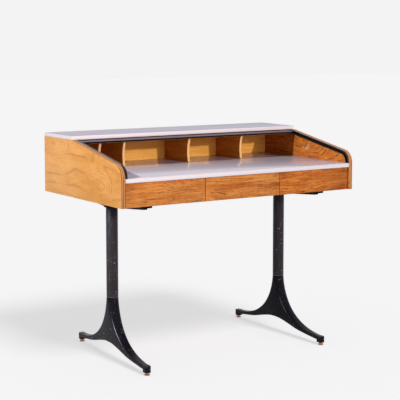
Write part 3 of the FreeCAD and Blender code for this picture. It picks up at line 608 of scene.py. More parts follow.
# Veneer on the dividers' sides, browner than the pigeonholes' back: the extra brown is painted
# shade. Its grain runs from front to back.
DIVIDER_SIDE_PAINTED_SHADE = StreakedVeneer(
    "pale_divider_veneer", 0.46, ior=1.3, grain=Grain.FRONT_TO_BACK,
    light="#D0842E", mid="#B86C20", dark="#74400E", deep="#A05A1C",
    band=20 * MM, contrast=0.3, figure=0.3, tide=0.4)
# Pale front edges of the dividers: their pale colour is a painted highlight, a light line at each
# opening.
DIVIDER_FRONT_PAINTED_HIGHLIGHT = StreakedVeneer(
    "divider_edge_lipping", 0.45, ior=1.3, grain=Grain.UPRIGHT,
    light="#F6C288", mid="#EEB276", dark="#CE8E50", deep="#E2A064",
    contrast=0.2, figure=0.1, tide=0.2)
# Cut edges of panels and fronts: the plywood's layers as pale and brown stripes.
PLY_EDGE = PlyEdge("plywood_cut_edge", 0.5, ior=1.4)
# White laminate: satin on the top board, whose greyer tone is painted shade; glossier on the
# writing surface.
TOP_LAMINATE_PAINTED_SHADE = Laminate("white_laminate_top", 0.30, ior=1.16, colour="#BAB6C8", haze="#B1ADC0")
DESK_LAMINATE = Laminate("white_laminate_desk", 0.15, ior=1.24, colour="#CDC8D6", haze="#C7C1D0")
# White edge bands, each with the dark joint of its sheet.
TOP_BAND = EdgeBand("white_band_top", 0.35, ior=1.3, joint_height=850.6 * MM)
DESK_BAND = EdgeBand("white_band_desk", 0.35, ior=1.3, joint_height=734.6 * MM)
# Black enamel of the tubes, satin and slightly warm.
TUBE_ENAMEL = Enamel("black_enamel_tube", 0.36, ior=1.27, colour="#2A2529", worn="#B0AAB6",
                     speck=12 * MM, wear=0.15)
# The castings' enamel, deeper in colour, with pale chips in patches.
CAST_ENAMEL = Enamel("black_enamel_casting", 0.25, ior=1.15, colour="#15121A", worn="#948EA0",
                     speck=12 * MM, wear=0.16)
# The lead rail's enamel, dull along its front and underside.
RAIL_ENAMEL = Enamel("black_enamel_rail", 0.42, ior=1.12, colour="#18151B", wear=0.20)
# The rail's upper face: its greyish colour is a painted highlight where light falls on it, with
# chips and scuffs over it.
RAIL_TOP_PAINTED_HIGHLIGHT = Enamel("rubbed_enamel_rail_top", 0.34, ior=1.4, colour="#5A5362", worn="#8E8694",
                  wear=0.4)
# Moulded channel, nearly black and polished along its lips by the slats.
CHANNEL_PLASTIC = Enamel("black_channel_moulding", 0.28, ior=1.36, colour="#08080A",
                         worn="#44434A", wear=0.15)
# A thin bright ring of metal on the tube's bevelled end: a painted highlight along the seam.
SEAM_RING_PAINTED_HIGHLIGHT = TurnedMetal("bare_steel_edge", 0.35, metallic=1.0, colour="#C8C0BA",
                         tarnish="#8C827C")
# Turned brass of the glides, pinkish gold and browned in patches.
BRASS = TurnedMetal("turned_brass", 0.32, metallic=1.0, colour="#D2A98A", tarnish="#8A6248")
# Zinc plating of the tie rods, a cold grey with duller clouds.
ZINC = TurnedMetal("zinc_plate", 0.38, metallic=1.0, colour="#A9A9AE", tarnish="#6F6F74")
# Beech of the drawer boxes, pale with faint figure.
BOX_WOOD = StreakedVeneer("drawer_box_beech", 0.5, light="#E2BC8A", mid="#D6AB76",
                          dark="#B98A55", contrast=0.2, figure=0.1)
# Waxed oak of the runners, tan with open grain along them.
RUNNER_WOOD = StreakedVeneer("waxed_runner_oak", 0.45, grain=Grain.FRONT_TO_BACK,
                             light="#C99A62", mid="#B98850", dark="#8F6232", figure=0.3)
# Rosewood of the curtain's slats, brown with narrow bands along each slat.
SLAT_WOOD = StreakedVeneer("tambour_slat_rosewood", 0.4, light="#B4682F", mid="#955024",
                           dark="#54280F", band=5 * MM)
# Plain plywood of the hidden case boards, tan and little figured.
CASE_PLY = StreakedVeneer("case_plywood_face", 0.55, light="#C9A070", mid="#BC9160",
                          dark="#99703F", contrast=0.25, figure=0.2)


# ---------------- bench work

class Bench:
    """Edit-mode modelling of one piece, from a primitive to a finished mesh."""

    def __init__(self, name: str) -> None:
        """Clear the selection, so that an operator acts on the new piece alone."""
        bpy.ops.object.select_all(action="DESELECT")
        self.name = name
        self.piece: Piece | None = None

    def block(self, low: Sequence[float], high: Sequence[float]) -> "Bench":
        """Add a block between two corners, in metres."""
        size = [top - base for base, top in zip(low, high)]
        middle = [(top + base) / 2 for base, top in zip(low, high)]
        return self._start(bpy.ops.mesh.primitive_cube_add, size=1, location=middle, scale=size)

    def rod(self, centre: Sequence[float], radius: float, height: float, sides: int) -> "Bench":
        """Add an upright cylinder, its centre at a place."""
        return self._start(bpy.ops.mesh.primitive_cylinder_add, vertices=sides, radius=radius,
                           depth=height, location=centre)

    def _start(self, primitive: Callable, **words) -> "Bench":
        """Add a primitive and go on in edit mode, with its place in the piece's mesh.

        Args:
            primitive: The operator that adds it.
            **words: The operator's own words.

        Returns:
            The bench.
        """
        if self.piece:
            bpy.ops.mesh.select_all(action="DESELECT")
        primitive(**words)
        if not self.piece:
            self.piece = bpy.context.object
            self.piece.name = self.name
            self.piece.data.name = self.name
            bpy.ops.object.transform_apply(location=True, rotation=True, scale=True)
            bpy.ops.object.mode_set(mode="EDIT")
        bpy.ops.mesh.select_all(action="DESELECT")
        return self

    def edges(self, test: Callable[[Vector], bool], upright: bool = False) -> "Bench":
        """Select edges.

        Args:
            test: What both ends of an edge have to pass.
            upright: Whether only the edges that rise are meant.

        Returns:
            The bench.
        """
        bpy.ops.mesh.select_mode(type="EDGE")
        mesh = bmesh.from_edit_mesh(self.piece.data)
        for edge in mesh.edges:
            one, two = (vert.co for vert in edge.verts)
            meant = abs(one.z - two.z) > TOUCH or not upright
            edge.select_set(meant and test(one) and test(two))
        bmesh.update_edit_mesh(self.piece.data)
        return self

    def bevel(self, width: float, segments: int = 2, profile: float = 0.5) -> "Bench":
        """Bevel the selected edges."""
        bpy.ops.mesh.bevel(offset=width, segments=segments, profile=profile, affect="EDGES",
                           clamp_overlap=True)
        bpy.ops.mesh.select_all(action="DESELECT")
        return self

    def sharp(self, width: float, segments: int = 2) -> "Bench":
        """Ease every sharp edge of the piece."""
        bpy.ops.mesh.select_mode(type="EDGE")
        bpy.ops.mesh.select_all(action="DESELECT")
        bpy.ops.mesh.edges_select_sharp(sharpness=math.radians(30))
        return self.bevel(width, segments)

    def cut(self, place: Point, normal: Point, clear: bool) -> "Bench":
        """Cut the piece by a plane, and clear what lies on the normal's side if asked."""
        bpy.ops.mesh.select_all(action="SELECT")
        bpy.ops.mesh.bisect(plane_co=place, plane_no=normal, use_fill=clear, clear_outer=clear)
        bpy.ops.mesh.select_all(action="DESELECT")
        return self

    def hollow(self, wall: float) -> "Bench":
        """Turn an upright cylinder into a tube with a wall of this thickness."""
        bpy.ops.mesh.select_mode(type="FACE")
        mesh = bmesh.from_edit_mesh(self.piece.data)
        for item in mesh.faces:
            item.select_set(abs(item.normal.z) > 0.99)
        bmesh.update_edit_mesh(self.piece.data)
        bpy.ops.mesh.inset(thickness=wall, use_individual=True)
        bpy.ops.mesh.delete(type="FACE")
        bpy.ops.mesh.select_mode(type="EDGE")
        bpy.ops.mesh.select_non_manifold(extend=False)
        bpy.ops.mesh.bridge_edge_loops()
        bpy.ops.mesh.select_all(action="DESELECT")
        return self

    def finish(self) -> Piece:
        """Leave edit mode and smooth the piece where its faces nearly agree."""
        bpy.ops.mesh.select_all(action="SELECT")
        bpy.ops.mesh.normals_make_consistent(inside=False)
        bpy.ops.object.mode_set(mode="OBJECT")
        bpy.ops.object.shade_smooth_by_angle(angle=SMOOTH_ANGLE)
        return self.piece


class Skin:
    """Surface drawn through rings of points, for forms that no primitive leads to."""

    def __init__(self) -> None:
        """Start with an empty mesh."""
        self.mesh = bmesh.new()

    def face(self, ring: Sequence[Vector]) -> "Skin":
        """Close a ring of points by a face of its own."""
        self.mesh.faces.new([self.mesh.verts.new(point) for point in ring])
        return self

    def loft(self, rings: Sequence[Sequence[Vector]], wrap: bool = True,
             caps: bool = False) -> "Skin":
        """Join neighbouring rings by quads.

        Args:
            rings: Rings with the same number of points each.
            wrap: Whether each ring's last point is joined to its first.
            caps: Whether the first and last rings are filled.

        Returns:
            The skin.
        """
        rows = [[self.mesh.verts.new(point) for point in ring] for ring in rings]
        count = len(rows[0]) if wrap else len(rows[0]) - 1
        for low, high in zip(rows, rows[1:]):
            for number in range(count):
                after = (number + 1) % len(low)
                self.mesh.faces.new((low[number], low[after], high[after], high[number]))
        if caps:
            for row in (rows[0], rows[-1]):
                self.mesh.faces.new(row)
        return self

    def mirrored(self) -> "Skin":
        """Add the mirror image front to back, which meets the first on the centre plane."""
        whole = self.mesh.verts[:] + self.mesh.edges[:] + self.mesh.faces[:]
        for item in bmesh.ops.duplicate(self.mesh, geom=whole)["geom"]:
            if isinstance(item, bmesh.types.BMVert):
                item.co.y = -item.co.y
        return self

    def finish(self, name: str, place: Matrix) -> Piece:
        """Merge what coincides, face everything outwards and make the piece.

        Args:
            name: The piece's name.
            place: Where its mesh goes.

        Returns:
            The piece, selected.
        """
        bmesh.ops.remove_doubles(self.mesh, verts=self.mesh.verts, dist=0.1 * TOUCH)
        bmesh.ops.recalc_face_normals(self.mesh, faces=self.mesh.faces)
        data = bpy.data.meshes.new(name)
        self.mesh.to_mesh(data)
        self.mesh.free()
        data.transform(place)
        piece = bpy.data.objects.new(name, data)
        bpy.context.scene.collection.objects.link(piece)
        bpy.ops.object.select_all(action="DESELECT")
        piece.select_set(True)
        bpy.context.view_layer.objects.active = piece
        bpy.ops.object.shade_smooth_by_angle(angle=SMOOTH_ANGLE)
        return piece


def joined(*pieces: Piece) -> Piece:
    """Make one piece of several, under the first one's name."""
    bpy.ops.object.select_all(action="DESELECT")
    for piece in pieces:
        piece.select_set(True)
    bpy.context.view_layer.objects.active = pieces[0]
    bpy.ops.object.join()
    return pieces[0]


def arc(centre: tuple[float, float], radius: float, start: float, end: float,
        steps: int) -> list[Vector]:
    """Draw an arc in a plane.

    Args:
        centre: Its centre.
        radius: Its radius.
        start: The angle of its first point, in degrees.
        end: The angle of its last point, in degrees.
        steps: The stretches between its points.

    Returns:
        Its points.
    """
    turns = [math.radians(start + (end - start) * number / steps) for number in range(steps + 1)]
    return [Vector((centre[0] + radius * math.cos(turn), centre[1] + radius * math.sin(turn)))
            for turn in turns]


def between(rows: Sequence[Sequence[float]], share: float) -> list[float]:
    """Read a table of stations, on cubic curves through its rows.

    Args:
        rows: A share and its values in each row.
        share: The share to read at.

    Returns:
        The values there.
    """
    last = len(rows) - 1
    spot = next((number for number in range(last) if share <= rows[number + 1][0]), last - 1)
    start, end = rows[spot], rows[spot + 1]
    gap = end[0] - start[0]
    part = (share - start[0]) / gap
    weights = (2 * part ** 3 - 3 * part ** 2 + 1, part ** 3 - 2 * part ** 2 + part,
               3 * part ** 2 - 2 * part ** 3, part ** 3 - part ** 2)

    def slope(number: int, column: int) -> float:
        """Slope of a column at a row, from the rows on either side."""
        before, after = rows[max(number - 1, 0)], rows[min(number + 1, last)]
        return (after[column] - before[column]) / (after[0] - before[0])

    return [weights[0] * start[column] + weights[1] * gap * slope(spot, column)
            + weights[2] * end[column] + weights[3] * gap * slope(spot + 1, column)
            for column in range(1, len(start))]


def seat(piece: Piece, node: str, finishes: Sequence[Finish],
         choose: Callable[[Vector, Vector], int] | None = None) -> None:
    """Give a piece its finishes, and ride it on its body in place of a CAD node.

    Args:
        piece: The piece.
        node: The CAD node.
        finishes: The piece's finishes, in slot order.
        choose: Slot number for a face, from its centre and normal.
    """
    piece.data.materials.clear()
    for finish in finishes:
        piece.data.materials.append(finish.material())
    for item in piece.data.polygons:
        item.material_index = choose(item.center, item.normal) if choose else 0
    record = frame["record"]
    bodies = record["behaviour"]["bodies"]
    body = next(name for name, nodes in bodies.items() if node in nodes)
    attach(piece, body)
    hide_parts(node)
    log.info("%s rides on %s, %d faces", piece.name, body, len(piece.data.polygons))


def board(node: str, finishes: Sequence[Finish],
          choose: Callable[[Vector, Vector], int] | None = None) -> None:
    """Square board with eased edges, in place of a CAD node.

    Args:
        node: The CAD node.
        finishes: The board's finishes, in slot order.
        choose: Slot number for a face, from its centre and normal.
    """
    low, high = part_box(node)
    piece = Bench(node + "_board").block(low, high).sharp(0.8 * MM).finish()
    seat(piece, node, finishes, choose)


def dress(node: str, finish: Finish) -> None:
    """Give a CAD node that stays in view its finish."""
    item = frame["nodes"][node]
    item.data.materials.clear()
    item.data.materials.append(finish.material())
    log.info("%s keeps its CAD shape, in %s", node, finish.name)


# ---------------- case

@dataclass
class Case:
    """Side panels, boards and pigeonholes."""

    nose: float = 50 * MM
    panel_ease: float = 1.0 * MM
    divider_ease: float = 0.7 * MM
    # Places of a divider's front edge: at its top, half way down and at its foot.
    hollow: Point = (73 * MM, 84 * MM, 77 * MM)
    hollow_cuts: int = 9

    def build(self) -> None:
        """Build every board of the case."""
        self.side_panel("side_panel_left", -1)
        self.side_panel("side_panel_right", 1)
        # The top board's laminate is greyer than the writing surface's by painted shade.
        for node, finishes in (("top_board", (TOP_LAMINATE_PAINTED_SHADE, TOP_BAND)),
                               ("writing_board", (DESK_LAMINATE, DESK_BAND))):
            board(node, finishes, lambda centre, normal: 0 if abs(normal.z) > 0.8 else 1)
        board("back_panel", (ASH_BACK,))
        for node in ("bottom_panel", "drawer_partition_left", "drawer_partition_right"):
            board(node, (CASE_PLY,))
        dress("pigeonhole_back", PALE_VENEER)
        dress("pigeonhole_roof", PALE_VENEER)
        for number in range(1, 5):
            self.divider("divider_%d" % number)

    def side_panel(self, node: str, sign: int) -> None:
        """Panel with a sloping edge and round nose, veneered on both faces.

        Args:
            node: Its CAD node.
            sign: The side of the desk that it is on, along X.
        """
        low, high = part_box(node)
        fall = (0.0, -math.sin(SLOPE), math.cos(SLOPE))
        bench = Bench(node + "_board").block(low, high)
        bench.cut((0.0, BEND, high.z), fall, clear=True)
        tip = high.z - (BEND - low.y) * math.tan(SLOPE)
        bench.edges(lambda end: abs(end.y - low.y) < TOUCH and abs(end.z - tip) < TOUCH)
        bench.bevel(self.nose * math.tan((math.pi / 2 - SLOPE) / 2), segments=18)
        piece = bench.sharp(self.panel_ease).finish()

        def face(centre: Vector, normal: Vector) -> int:
            """Outer veneer, cut edge or inner veneer."""
            if abs(normal.x) < 0.9:
                return 1
            return 0 if normal.x * sign > 0 else 2

        seat(piece, node, (ASH, PLY_EDGE, INNER_ROSEWOOD), face)

    def divider(self, node: str) -> None:
        """Divider whose front edge is hollowed along an arc."""
        low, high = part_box(node)
        top, middle, foot = self.hollow
        bench = Bench(node + "_board").block((low.x, foot, low.z), high)
        height = high.z - low.z
        for number in range(1, self.hollow_cuts + 1):
            level = low.z + height * number / (self.hollow_cuts + 1)
            bench.cut((0, 0, level), (0, 0, 1), clear=False)
        mesh = bmesh.from_edit_mesh(bench.piece.data)
        bow = middle - (foot + top) / 2
        for vert in mesh.verts:
            if vert.co.y < foot + TOUCH:
                share = (vert.co.z - low.z) / height
                straight = foot + (top - foot) * share
                vert.co.y = straight + 4 * bow * share * (1 - share)
        bmesh.update_edit_mesh(bench.piece.data)
        piece = bench.sharp(self.divider_ease).finish()
        # The dividers' front faces take a pale painted highlight, and their sides a browner veneer
        # with painted shade.
        seat(piece, node, (DIVIDER_SIDE_PAINTED_SHADE, DIVIDER_FRONT_PAINTED_HIGHLIGHT),
             lambda centre, normal: 1 if normal.y < -0.7 else 0)


# ---------------- tambour

@dataclass
class Tambour:
    """Channels, lead rail and curtain."""

    # The channel's section.
    wall: float = 517 * MM
    proud: float = 9 * MM
    half: float = 7 * MM
    groove_half: float = 4 * MM
    groove_floor: float = 3 * MM
    lip: float = 1.1 * MM
    lip_lean: float = 0.7
    outer_turns: tuple[float, ...] = (0.0, 0.4, 0.8, 1.2, 1.571)
    inner_turns: tuple[float, ...] = (0.0, 0.5, 1.0, 1.571)
    # Its centre line: up from the desk, along the slope and the top, and down to its foot.
    level: float = 842.5 * MM
    bend: float = BEND + half * math.tan(SLOPE / 2)
    front: float = -305 * MM
    rear: float = 293 * MM
    desk: float = 737 * MM
    foot: float = 648 * MM
    radii: Point = (43 * MM, 60 * MM, 38 * MM)
    degrees_a_step: float = 4.0
    # The lead rail.
    rail_depth: float = 20 * MM
    rail_half: float = 4 * MM
    rail_reach: float = 507 * MM
    rail_round: float = 2 * MM
    rail_ease: float = 0.5 * MM
    rail_end: float = 0.93
    cove: tuple[float, float] = (-10 * MM, -1.5 * MM)
    cove_radius: float = 3.3 * MM
    cove_turns: tuple[float, float] = (27, 153)
    # Its tongues, in the channels.
    tongue_reach: float = 512 * MM
    tongue_root: float = 2 * MM
    tongue_depths: tuple[float, float] = (-17.5 * MM, -2.5 * MM)
    tongue_half: float = 3.5 * MM
    tongue_ease: float = 0.8 * MM

    def build(self) -> None:
        """Model the channels and the lead rail, and dress the curtain."""
        self.channel("tambour_track_left", -1)
        self.channel("tambour_track_right", 1)
        self.lead_rail("tambour_lead_rail")
        for node in frame["nodes"]:
            if node.startswith("curtain_"):
                dress(node, SLAT_WOOD)

    def run(self) -> list[tuple[Vector, Vector]]:
        """Points of the channel's centre line, each with the direction across it."""
        drop = (self.bend - self.front) * math.tan(SLOPE)
        turns = (Vector((self.front, self.level - drop)), Vector((self.bend, self.level)),
                 Vector((self.rear, self.level)))
        ways = (Vector((0, 1)), Vector((math.cos(SLOPE), math.sin(SLOPE))), Vector((1, 0)),
                Vector((0, -1)))
        found = [(Vector((self.front, self.desk)), Vector((1, 0)))]
        for corner, radius, before, after in zip(turns, self.radii, ways, ways[1:]):
            turn = math.acos(before.dot(after))
            inward = Vector((before.y, -before.x))
            centre = corner - before * radius * math.tan(turn / 2) + inward * radius
            steps = max(4, round(math.degrees(turn) / self.degrees_a_step))
            for number in range(steps + 1):
                across = Matrix.Rotation(-turn * number / steps, 2) @ inward
                found.append((centre - across * radius, across))
        found.append((Vector((self.rear, self.foot)), found[-1][1]))
        return found

    def channel(self, node: str, sign: int) -> None:
        """Grooved channel with rounded lips, along the inner face of a side panel.

        Args:
            node: Its CAD node.
            sign: The side of the desk that it is on, along X.
        """
        top, lip = self.proud, self.lip
        outer, inner = self.half - lip, self.groove_half + lip
        right = [(self.half, 0.0)]
        right += [(outer + lip * math.cos(turn), top - lip + lip * math.sin(turn))
                  for turn in self.outer_turns]
        right += [(inner - self.lip_lean * lip * math.sin(turn), top - lip * (1 - math.cos(turn)))
                  for turn in self.inner_turns]
        right += [(self.groove_half, self.groove_floor)]
        section = right + [(-across, depth) for across, depth in reversed(right)]
        rings = [[Vector((sign * (self.wall - depth), point.x + way.x * across,
                          point.y + way.y * across))
                  for across, depth in section] for point, way in self.run()]
        piece = Skin().loft(rings, caps=True).finish(node + "_moulding", Matrix())
        seat(piece, node, (CHANNEL_PLASTIC,))

    def lead_rail(self, node: str) -> None:
        """Bar with a soft front edge, a finger cove underneath, and a tongue at each end."""
        half, ease, front = self.rail_half, self.rail_ease, self.rail_round - self.rail_depth
        section = arc((front, half - self.rail_round), self.rail_round, 180, 90, 6)
        section += arc((-ease, half - ease), ease, 90, 0, 3)
        section += arc((-ease, -half + ease), ease, 0, -90, 3)
        section += arc((self.cove[0], self.cove[1] - half), self.cove_radius,
                       *self.cove_turns, 10)
        section += arc((front, -half + self.rail_round), self.rail_round, -90, -180, 6)
        middle = Vector((-self.rail_depth / 2, 0.0))
        left, right = -self.rail_reach, self.rail_reach
        rings = [[Vector((place, *(middle + (point - middle) * share))) for point in section]
                 for place, share in ((left, self.rail_end), (left + ease, 1.0),
                                      (right - ease, 1.0), (right, self.rail_end))]
        slope = Matrix.Rotation(SLOPE, 4, "X")
        tilt = Matrix.Translation((0, self.bend, self.level)) @ slope
        pieces = [Skin().loft(rings, caps=True).finish(node + "_bar", tilt)]
        low, high = self.tongue_depths
        for side, sign in (("left", -1), ("right", 1)):
            ends = sorted((sign * (self.rail_reach - self.tongue_root), sign * self.tongue_reach))
            bench = Bench("%s_tongue_%s" % (node, side))
            bench.block((ends[0], low, -self.tongue_half), (ends[1], high, self.tongue_half))
            pieces.append(bench.sharp(self.tongue_ease).finish())
            pieces[-1].data.transform(tilt)
        # Faces that look up take the greyish painted highlight of the rail's top.
        seat(joined(*pieces), node, (RAIL_ENAMEL, RAIL_TOP_PAINTED_HIGHLIGHT),
             lambda centre, normal: 1 if normal.z > 0.25 else 0)


# ---------------- drawers

@dataclass
class Drawers:
    """Three drawers: figured fronts with a finger groove behind, and boxes on runners."""

    fronts: tuple[tuple[str, Finish], ...] = (
        ("left", FRONT_ROSEWOOD), ("middle", MIDDLE_ROSEWOOD), ("right", RIGHT_ROSEWOOD))
    groove: float = 9 * MM
    groove_profile: float = 0.12
    ease: float = 0.6 * MM

    def build(self) -> None:
        """Build the fronts and boxes."""
        for name, finish in self.fronts:
            self.front("drawer_%s_front" % name, finish)
            for part in ("side_left", "side_right", "back", "bottom"):
                dress("drawer_%s_%s" % (name, part), BOX_WOOD)
            for side in ("left", "right"):
                dress("runner_%s_%s" % (name, side), RUNNER_WOOD)

    def front(self, node: str, finish: Finish) -> None:
        """Front with a cove along the back of its lower edge."""
        low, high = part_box(node)
        bench = Bench(node + "_board").block(low, high)
        bench.edges(lambda end: abs(end.y - high.y) < TOUCH and abs(end.z - low.z) < TOUCH)
        bench.bevel(self.groove, segments=8, profile=self.groove_profile)
        piece = bench.sharp(self.ease).finish()
        seat(piece, node, (finish, PLY_EDGE), lambda centre, normal: 0 if normal.y < -0.5 else 1)


# ---------------- pedestals

# Along a foot's upper outline: share, the inner point's reach and height, half width, bevel
# and crown. All are in millimetres but the share and the crown, which is in degrees.
FLARE = (
    (0.00, 0.0, 241.0, 23.0, 23.0, 52.0), (0.10, 0.0, 212.0, 22.8, 16.5, 46.0),
    (0.20, 0.0, 181.0, 22.3, 12.5, 39.0), (0.30, 0.0, 146.0, 21.6, 10.0, 32.0),
    (0.40, 0.0, 103.0, 20.7, 8.4, 26.0), (0.50, 0.0, 65.0, 19.8, 7.4, 22.0),
)
PRONG = (
    FLARE[-1],
    (0.58, 34.0, 62.5, 19.0, 7.0, 19.0), (0.68, 84.0, 52.8, 17.9, 6.5, 16.5),
    (0.80, 150.0, 37.5, 16.4, 5.8, 14.0), (0.91, 217.0, 28.0, 14.2, 4.8, 12.0),
    (1.00, 287.0, 20.0, 12.0, 3.8, 11.0),
)


@dataclass
class Pedestals:
    """Feet, glides, columns and brackets."""

    spread: float = 400 * MM
    back: float = 4 * MM
    # Each pedestal's side, its sign along X and its foot's turn.
    turns: tuple[tuple[str, int, float], ...] = (
        ("left", -1, math.radians(-3.3)), ("right", 1, 0.0))
    # The foot: its upper outline's four curve points in millimetres, the share along it where
    # the prong leaves the flare, and how the prong's lower edges ease in from there.
    swoop: tuple[tuple[float, float], ...] = (
        (23.0, 241.0), (23.0, 151.0), (89.0, 39.0), (289.0, 37.0))
    parting: float = 0.5
    flare_steps: int = 18
    prong_steps: int = 26
    prong_ease: float = 1.6
    ease_share: float = 0.06
    toe_reach: tuple[float, float] = (279 * MM, 304 * MM)
    toe_half: float = 12.25 * MM
    toe_heights: tuple[float, float] = (11 * MM, 36 * MM)
    toe_corner: float = 9 * MM
    toe_round: float = 3 * MM
    toe_ease: float = 0.8 * MM
    # The tube, with the bevel at its seam, and the glides.
    tube_radius: float = 23 * MM
    tube_wall: float = 3 * MM
    tube_sides: int = 96
    seam: float = 0.9 * MM
    glide_reach: float = 291 * MM
    disc_radius: float = 10.5 * MM
    disc_height: float = 5 * MM
    disc_ease: float = 1.1 * MM
    neck_radius: float = 7.5 * MM
    neck_height: float = 6.4 * MM
    neck_middle: float = 8 * MM

    def build(self) -> None:
        """Model the castings, tubes and glides, and dress the brackets and tie rods."""
        for side, sign, turn in self.turns:
            stand = Matrix.Translation((sign * self.spread, self.back, 0))
            place = stand @ Matrix.Rotation(turn, 4, "Z")
            self.foot("foot_" + side, place)
            self.column("column_" + side, sign)
            for end, way in (("front", -1), ("rear", 1)):
                centre = place @ Vector((0, way * self.glide_reach, 0))
                self.glide("glide_%s_%s" % (side, end), centre)
            dress("spider_" + side, CAST_ENAMEL)
            dress("tie_rod_" + side, ZINC)

    def section(self, share: float, rows: Sequence[Sequence[float]]) -> list[Vector]:
        """Ring of the foot: upright sides, rounded rims and a crowned top.

        Args:
            share: Share along the foot's upper outline.
            rows: The table of stations that it lies in.

        Returns:
            Its points, in metres.
        """
        inner_reach, inner_height, half, bevel, crown = between(rows, share)
        rest = 1 - share
        weights = (rest ** 3, 3 * share * rest ** 2, 3 * share ** 2 * rest, share ** 3)
        outer = [sum(weight * point[axis] for weight, point in zip(weights, self.swoop))
                 for axis in (0, 1)]
        across = Vector((outer[0] - inner_reach, outer[1] - inner_height))
        depth, way = across.length, across.normalized()
        angle = math.radians(crown)
        radius = (half - bevel * (1 - math.sin(angle))) / math.sin(angle)
        shoulder = depth - radius * (1 - math.cos(angle)) - bevel * math.cos(angle)
        eased = min(1.0, max(0.0, (share - self.parting) / self.ease_share))
        ease = self.prong_ease * eased
        side = [(half - ease, 0.0), (half - 0.3 * ease, 0.3 * ease), (half, ease)]
        side += [(half - bevel + turn.x, shoulder + turn.y)
                 for turn in arc((0, 0), bevel, 0, 90 - crown, 6)]
        side += [(turn.x, depth - radius + turn.y)
                 for turn in arc((0, 0), radius, 90 - crown, 90, 6)[1:]]
        points = side + [(-width, height) for width, height in reversed(side[:-1])]
        return [Vector((width, -(inner_reach + way.x * height),
                        inner_height + way.y * height)) * MM for width, height in points]

    def foot(self, node: str, place: Matrix) -> None:
        """Cast foot: a round socket that swoops into two prongs over an arch.

        Args:
            node: Its CAD node.
            place: Where it stands, and how it is turned.
        """
        rest = 1 - self.parting
        flare = [self.section(self.parting * number / self.flare_steps, FLARE)
                 for number in range(self.flare_steps + 1)]
        prong = [self.section(self.parting + rest * number / self.prong_steps, PRONG)
                 for number in range(self.prong_steps + 1)]
        skin = Skin().loft(flare, wrap=False).face(flare[0]).loft(prong).face(prong[-1])
        casting = skin.mirrored().finish(node + "_casting", place)
        toes = [self.toe("%s_toe_%s" % (node, end), way, place)
                for end, way in (("front", -1), ("rear", 1))]
        seat(joined(casting, *toes), node, (CAST_ENAMEL,))

    def toe(self, name: str, way: int, place: Matrix) -> Piece:
        """Block at the end of a prong, round in plan and eased along its top.

        Args:
            name: The block's name.
            way: Its side of the foot, along Y.
            place: Where the foot stands, and how it is turned.

        Returns:
            The block.
        """
        near, far = (way * reach for reach in self.toe_reach)
        low, high = self.toe_heights
        bench = Bench(name).block((-self.toe_half, min(near, far), low),
                                  (self.toe_half, max(near, far), high))
        bench.edges(lambda end: abs(end.y - far) < TOUCH, upright=True)
        bench.bevel(self.toe_corner, segments=9)
        bench.edges(lambda end: abs(end.z - high) < TOUCH < abs(end.y - near))
        bench.bevel(self.toe_round, segments=5)
        bench.edges(lambda end: abs(end.z - low) < TOUCH)
        item = bench.bevel(self.toe_ease).finish()
        item.data.transform(place)
        return item

    def column(self, node: str, sign: int) -> None:
        """Steel tube, bevelled where it meets the casting.

        Args:
            node: Its CAD node.
            sign: The side of the desk that it is on, along X.
        """
        low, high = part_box(node)
        centre = Vector((sign * self.spread, self.back, (low.z + high.z) / 2))
        bench = Bench(node + "_tube").rod(centre, self.tube_radius, high.z - low.z,
                                          self.tube_sides).hollow(self.tube_wall)
        bench.edges(lambda end: (end.xy - centre.xy).length > self.tube_radius - TOUCH
                    and min(abs(end.z - low.z), abs(end.z - high.z)) < TOUCH)
        piece = bench.bevel(self.seam).finish()
        # The bevel at the tube's foot takes the bright metal ring, a painted highlight along the
        # seam.
        highlight_ring_top = low.z + self.seam
        seat(piece, node, (TUBE_ENAMEL, SEAM_RING_PAINTED_HIGHLIGHT),
             lambda centre, normal: 1 if centre.z < highlight_ring_top and normal.z > -0.99 else 0)

    def glide(self, node: str, centre: Vector) -> None:
        """Brass glide: a disc with eased edges under a hexagon neck."""
        plan = (centre.x, centre.y)
        bench = Bench(node + "_turned")
        bench.rod((*plan, self.disc_height / 2), self.disc_radius, self.disc_height, 64)
        bench.sharp(self.disc_ease, segments=4)
        bench.rod((*plan, self.neck_middle), self.neck_radius, self.neck_height, 6)
        seat(bench.finish(), node, (BRASS,))


# ---------------- studio

class Falls(Enum):
    """What a lamp lights: ends of object names, and whether those are lit or left out."""

    ON_DESK = (("_floor",), "EXCLUDE")
    ON_FLOOR = (("_floor",), "INCLUDE")
    ON_PEDESTALS = (("_casting", "_tube"), "INCLUDE")


class Gives(Enum):
    """Whether a lamp shows in the body colour of what it lights, and in its gloss."""

    BODY = (True, False)
    GLINTS = (False, True)


@dataclass(frozen=True)
class Lamp:
    """A far lamp: where it shines, its strength, width and colour, and what it lights."""

    name: str
    towards: Point
    strength: float
    width: float
    colour: str
    falls: Falls
    gives: Gives = Gives.BODY

    def hang(self) -> None:
        """Hang the lamp and set what it lights."""
        data = bpy.data.lights.new(self.name, "SUN")
        data.energy = self.strength
        data.angle = self.width
        data.color = linear(self.colour)[:3]
        item = bpy.data.objects.new(self.name, data)
        bpy.context.scene.collection.objects.link(item)
        item.visible_diffuse, item.visible_glossy = self.gives.value
        item.rotation_euler = Vector(self.towards).to_track_quat("-Z", "Y").to_euler()
        endings, state = self.falls.value
        named = bpy.data.collections.new(self.name + "_receivers")
        for other in bpy.context.scene.objects:
            if other.name.endswith(endings):
                named.objects.link(other)
        item.light_linking.receiver_collection = named
        for member in named.collection_objects:
            member.light_linking.link_state = state


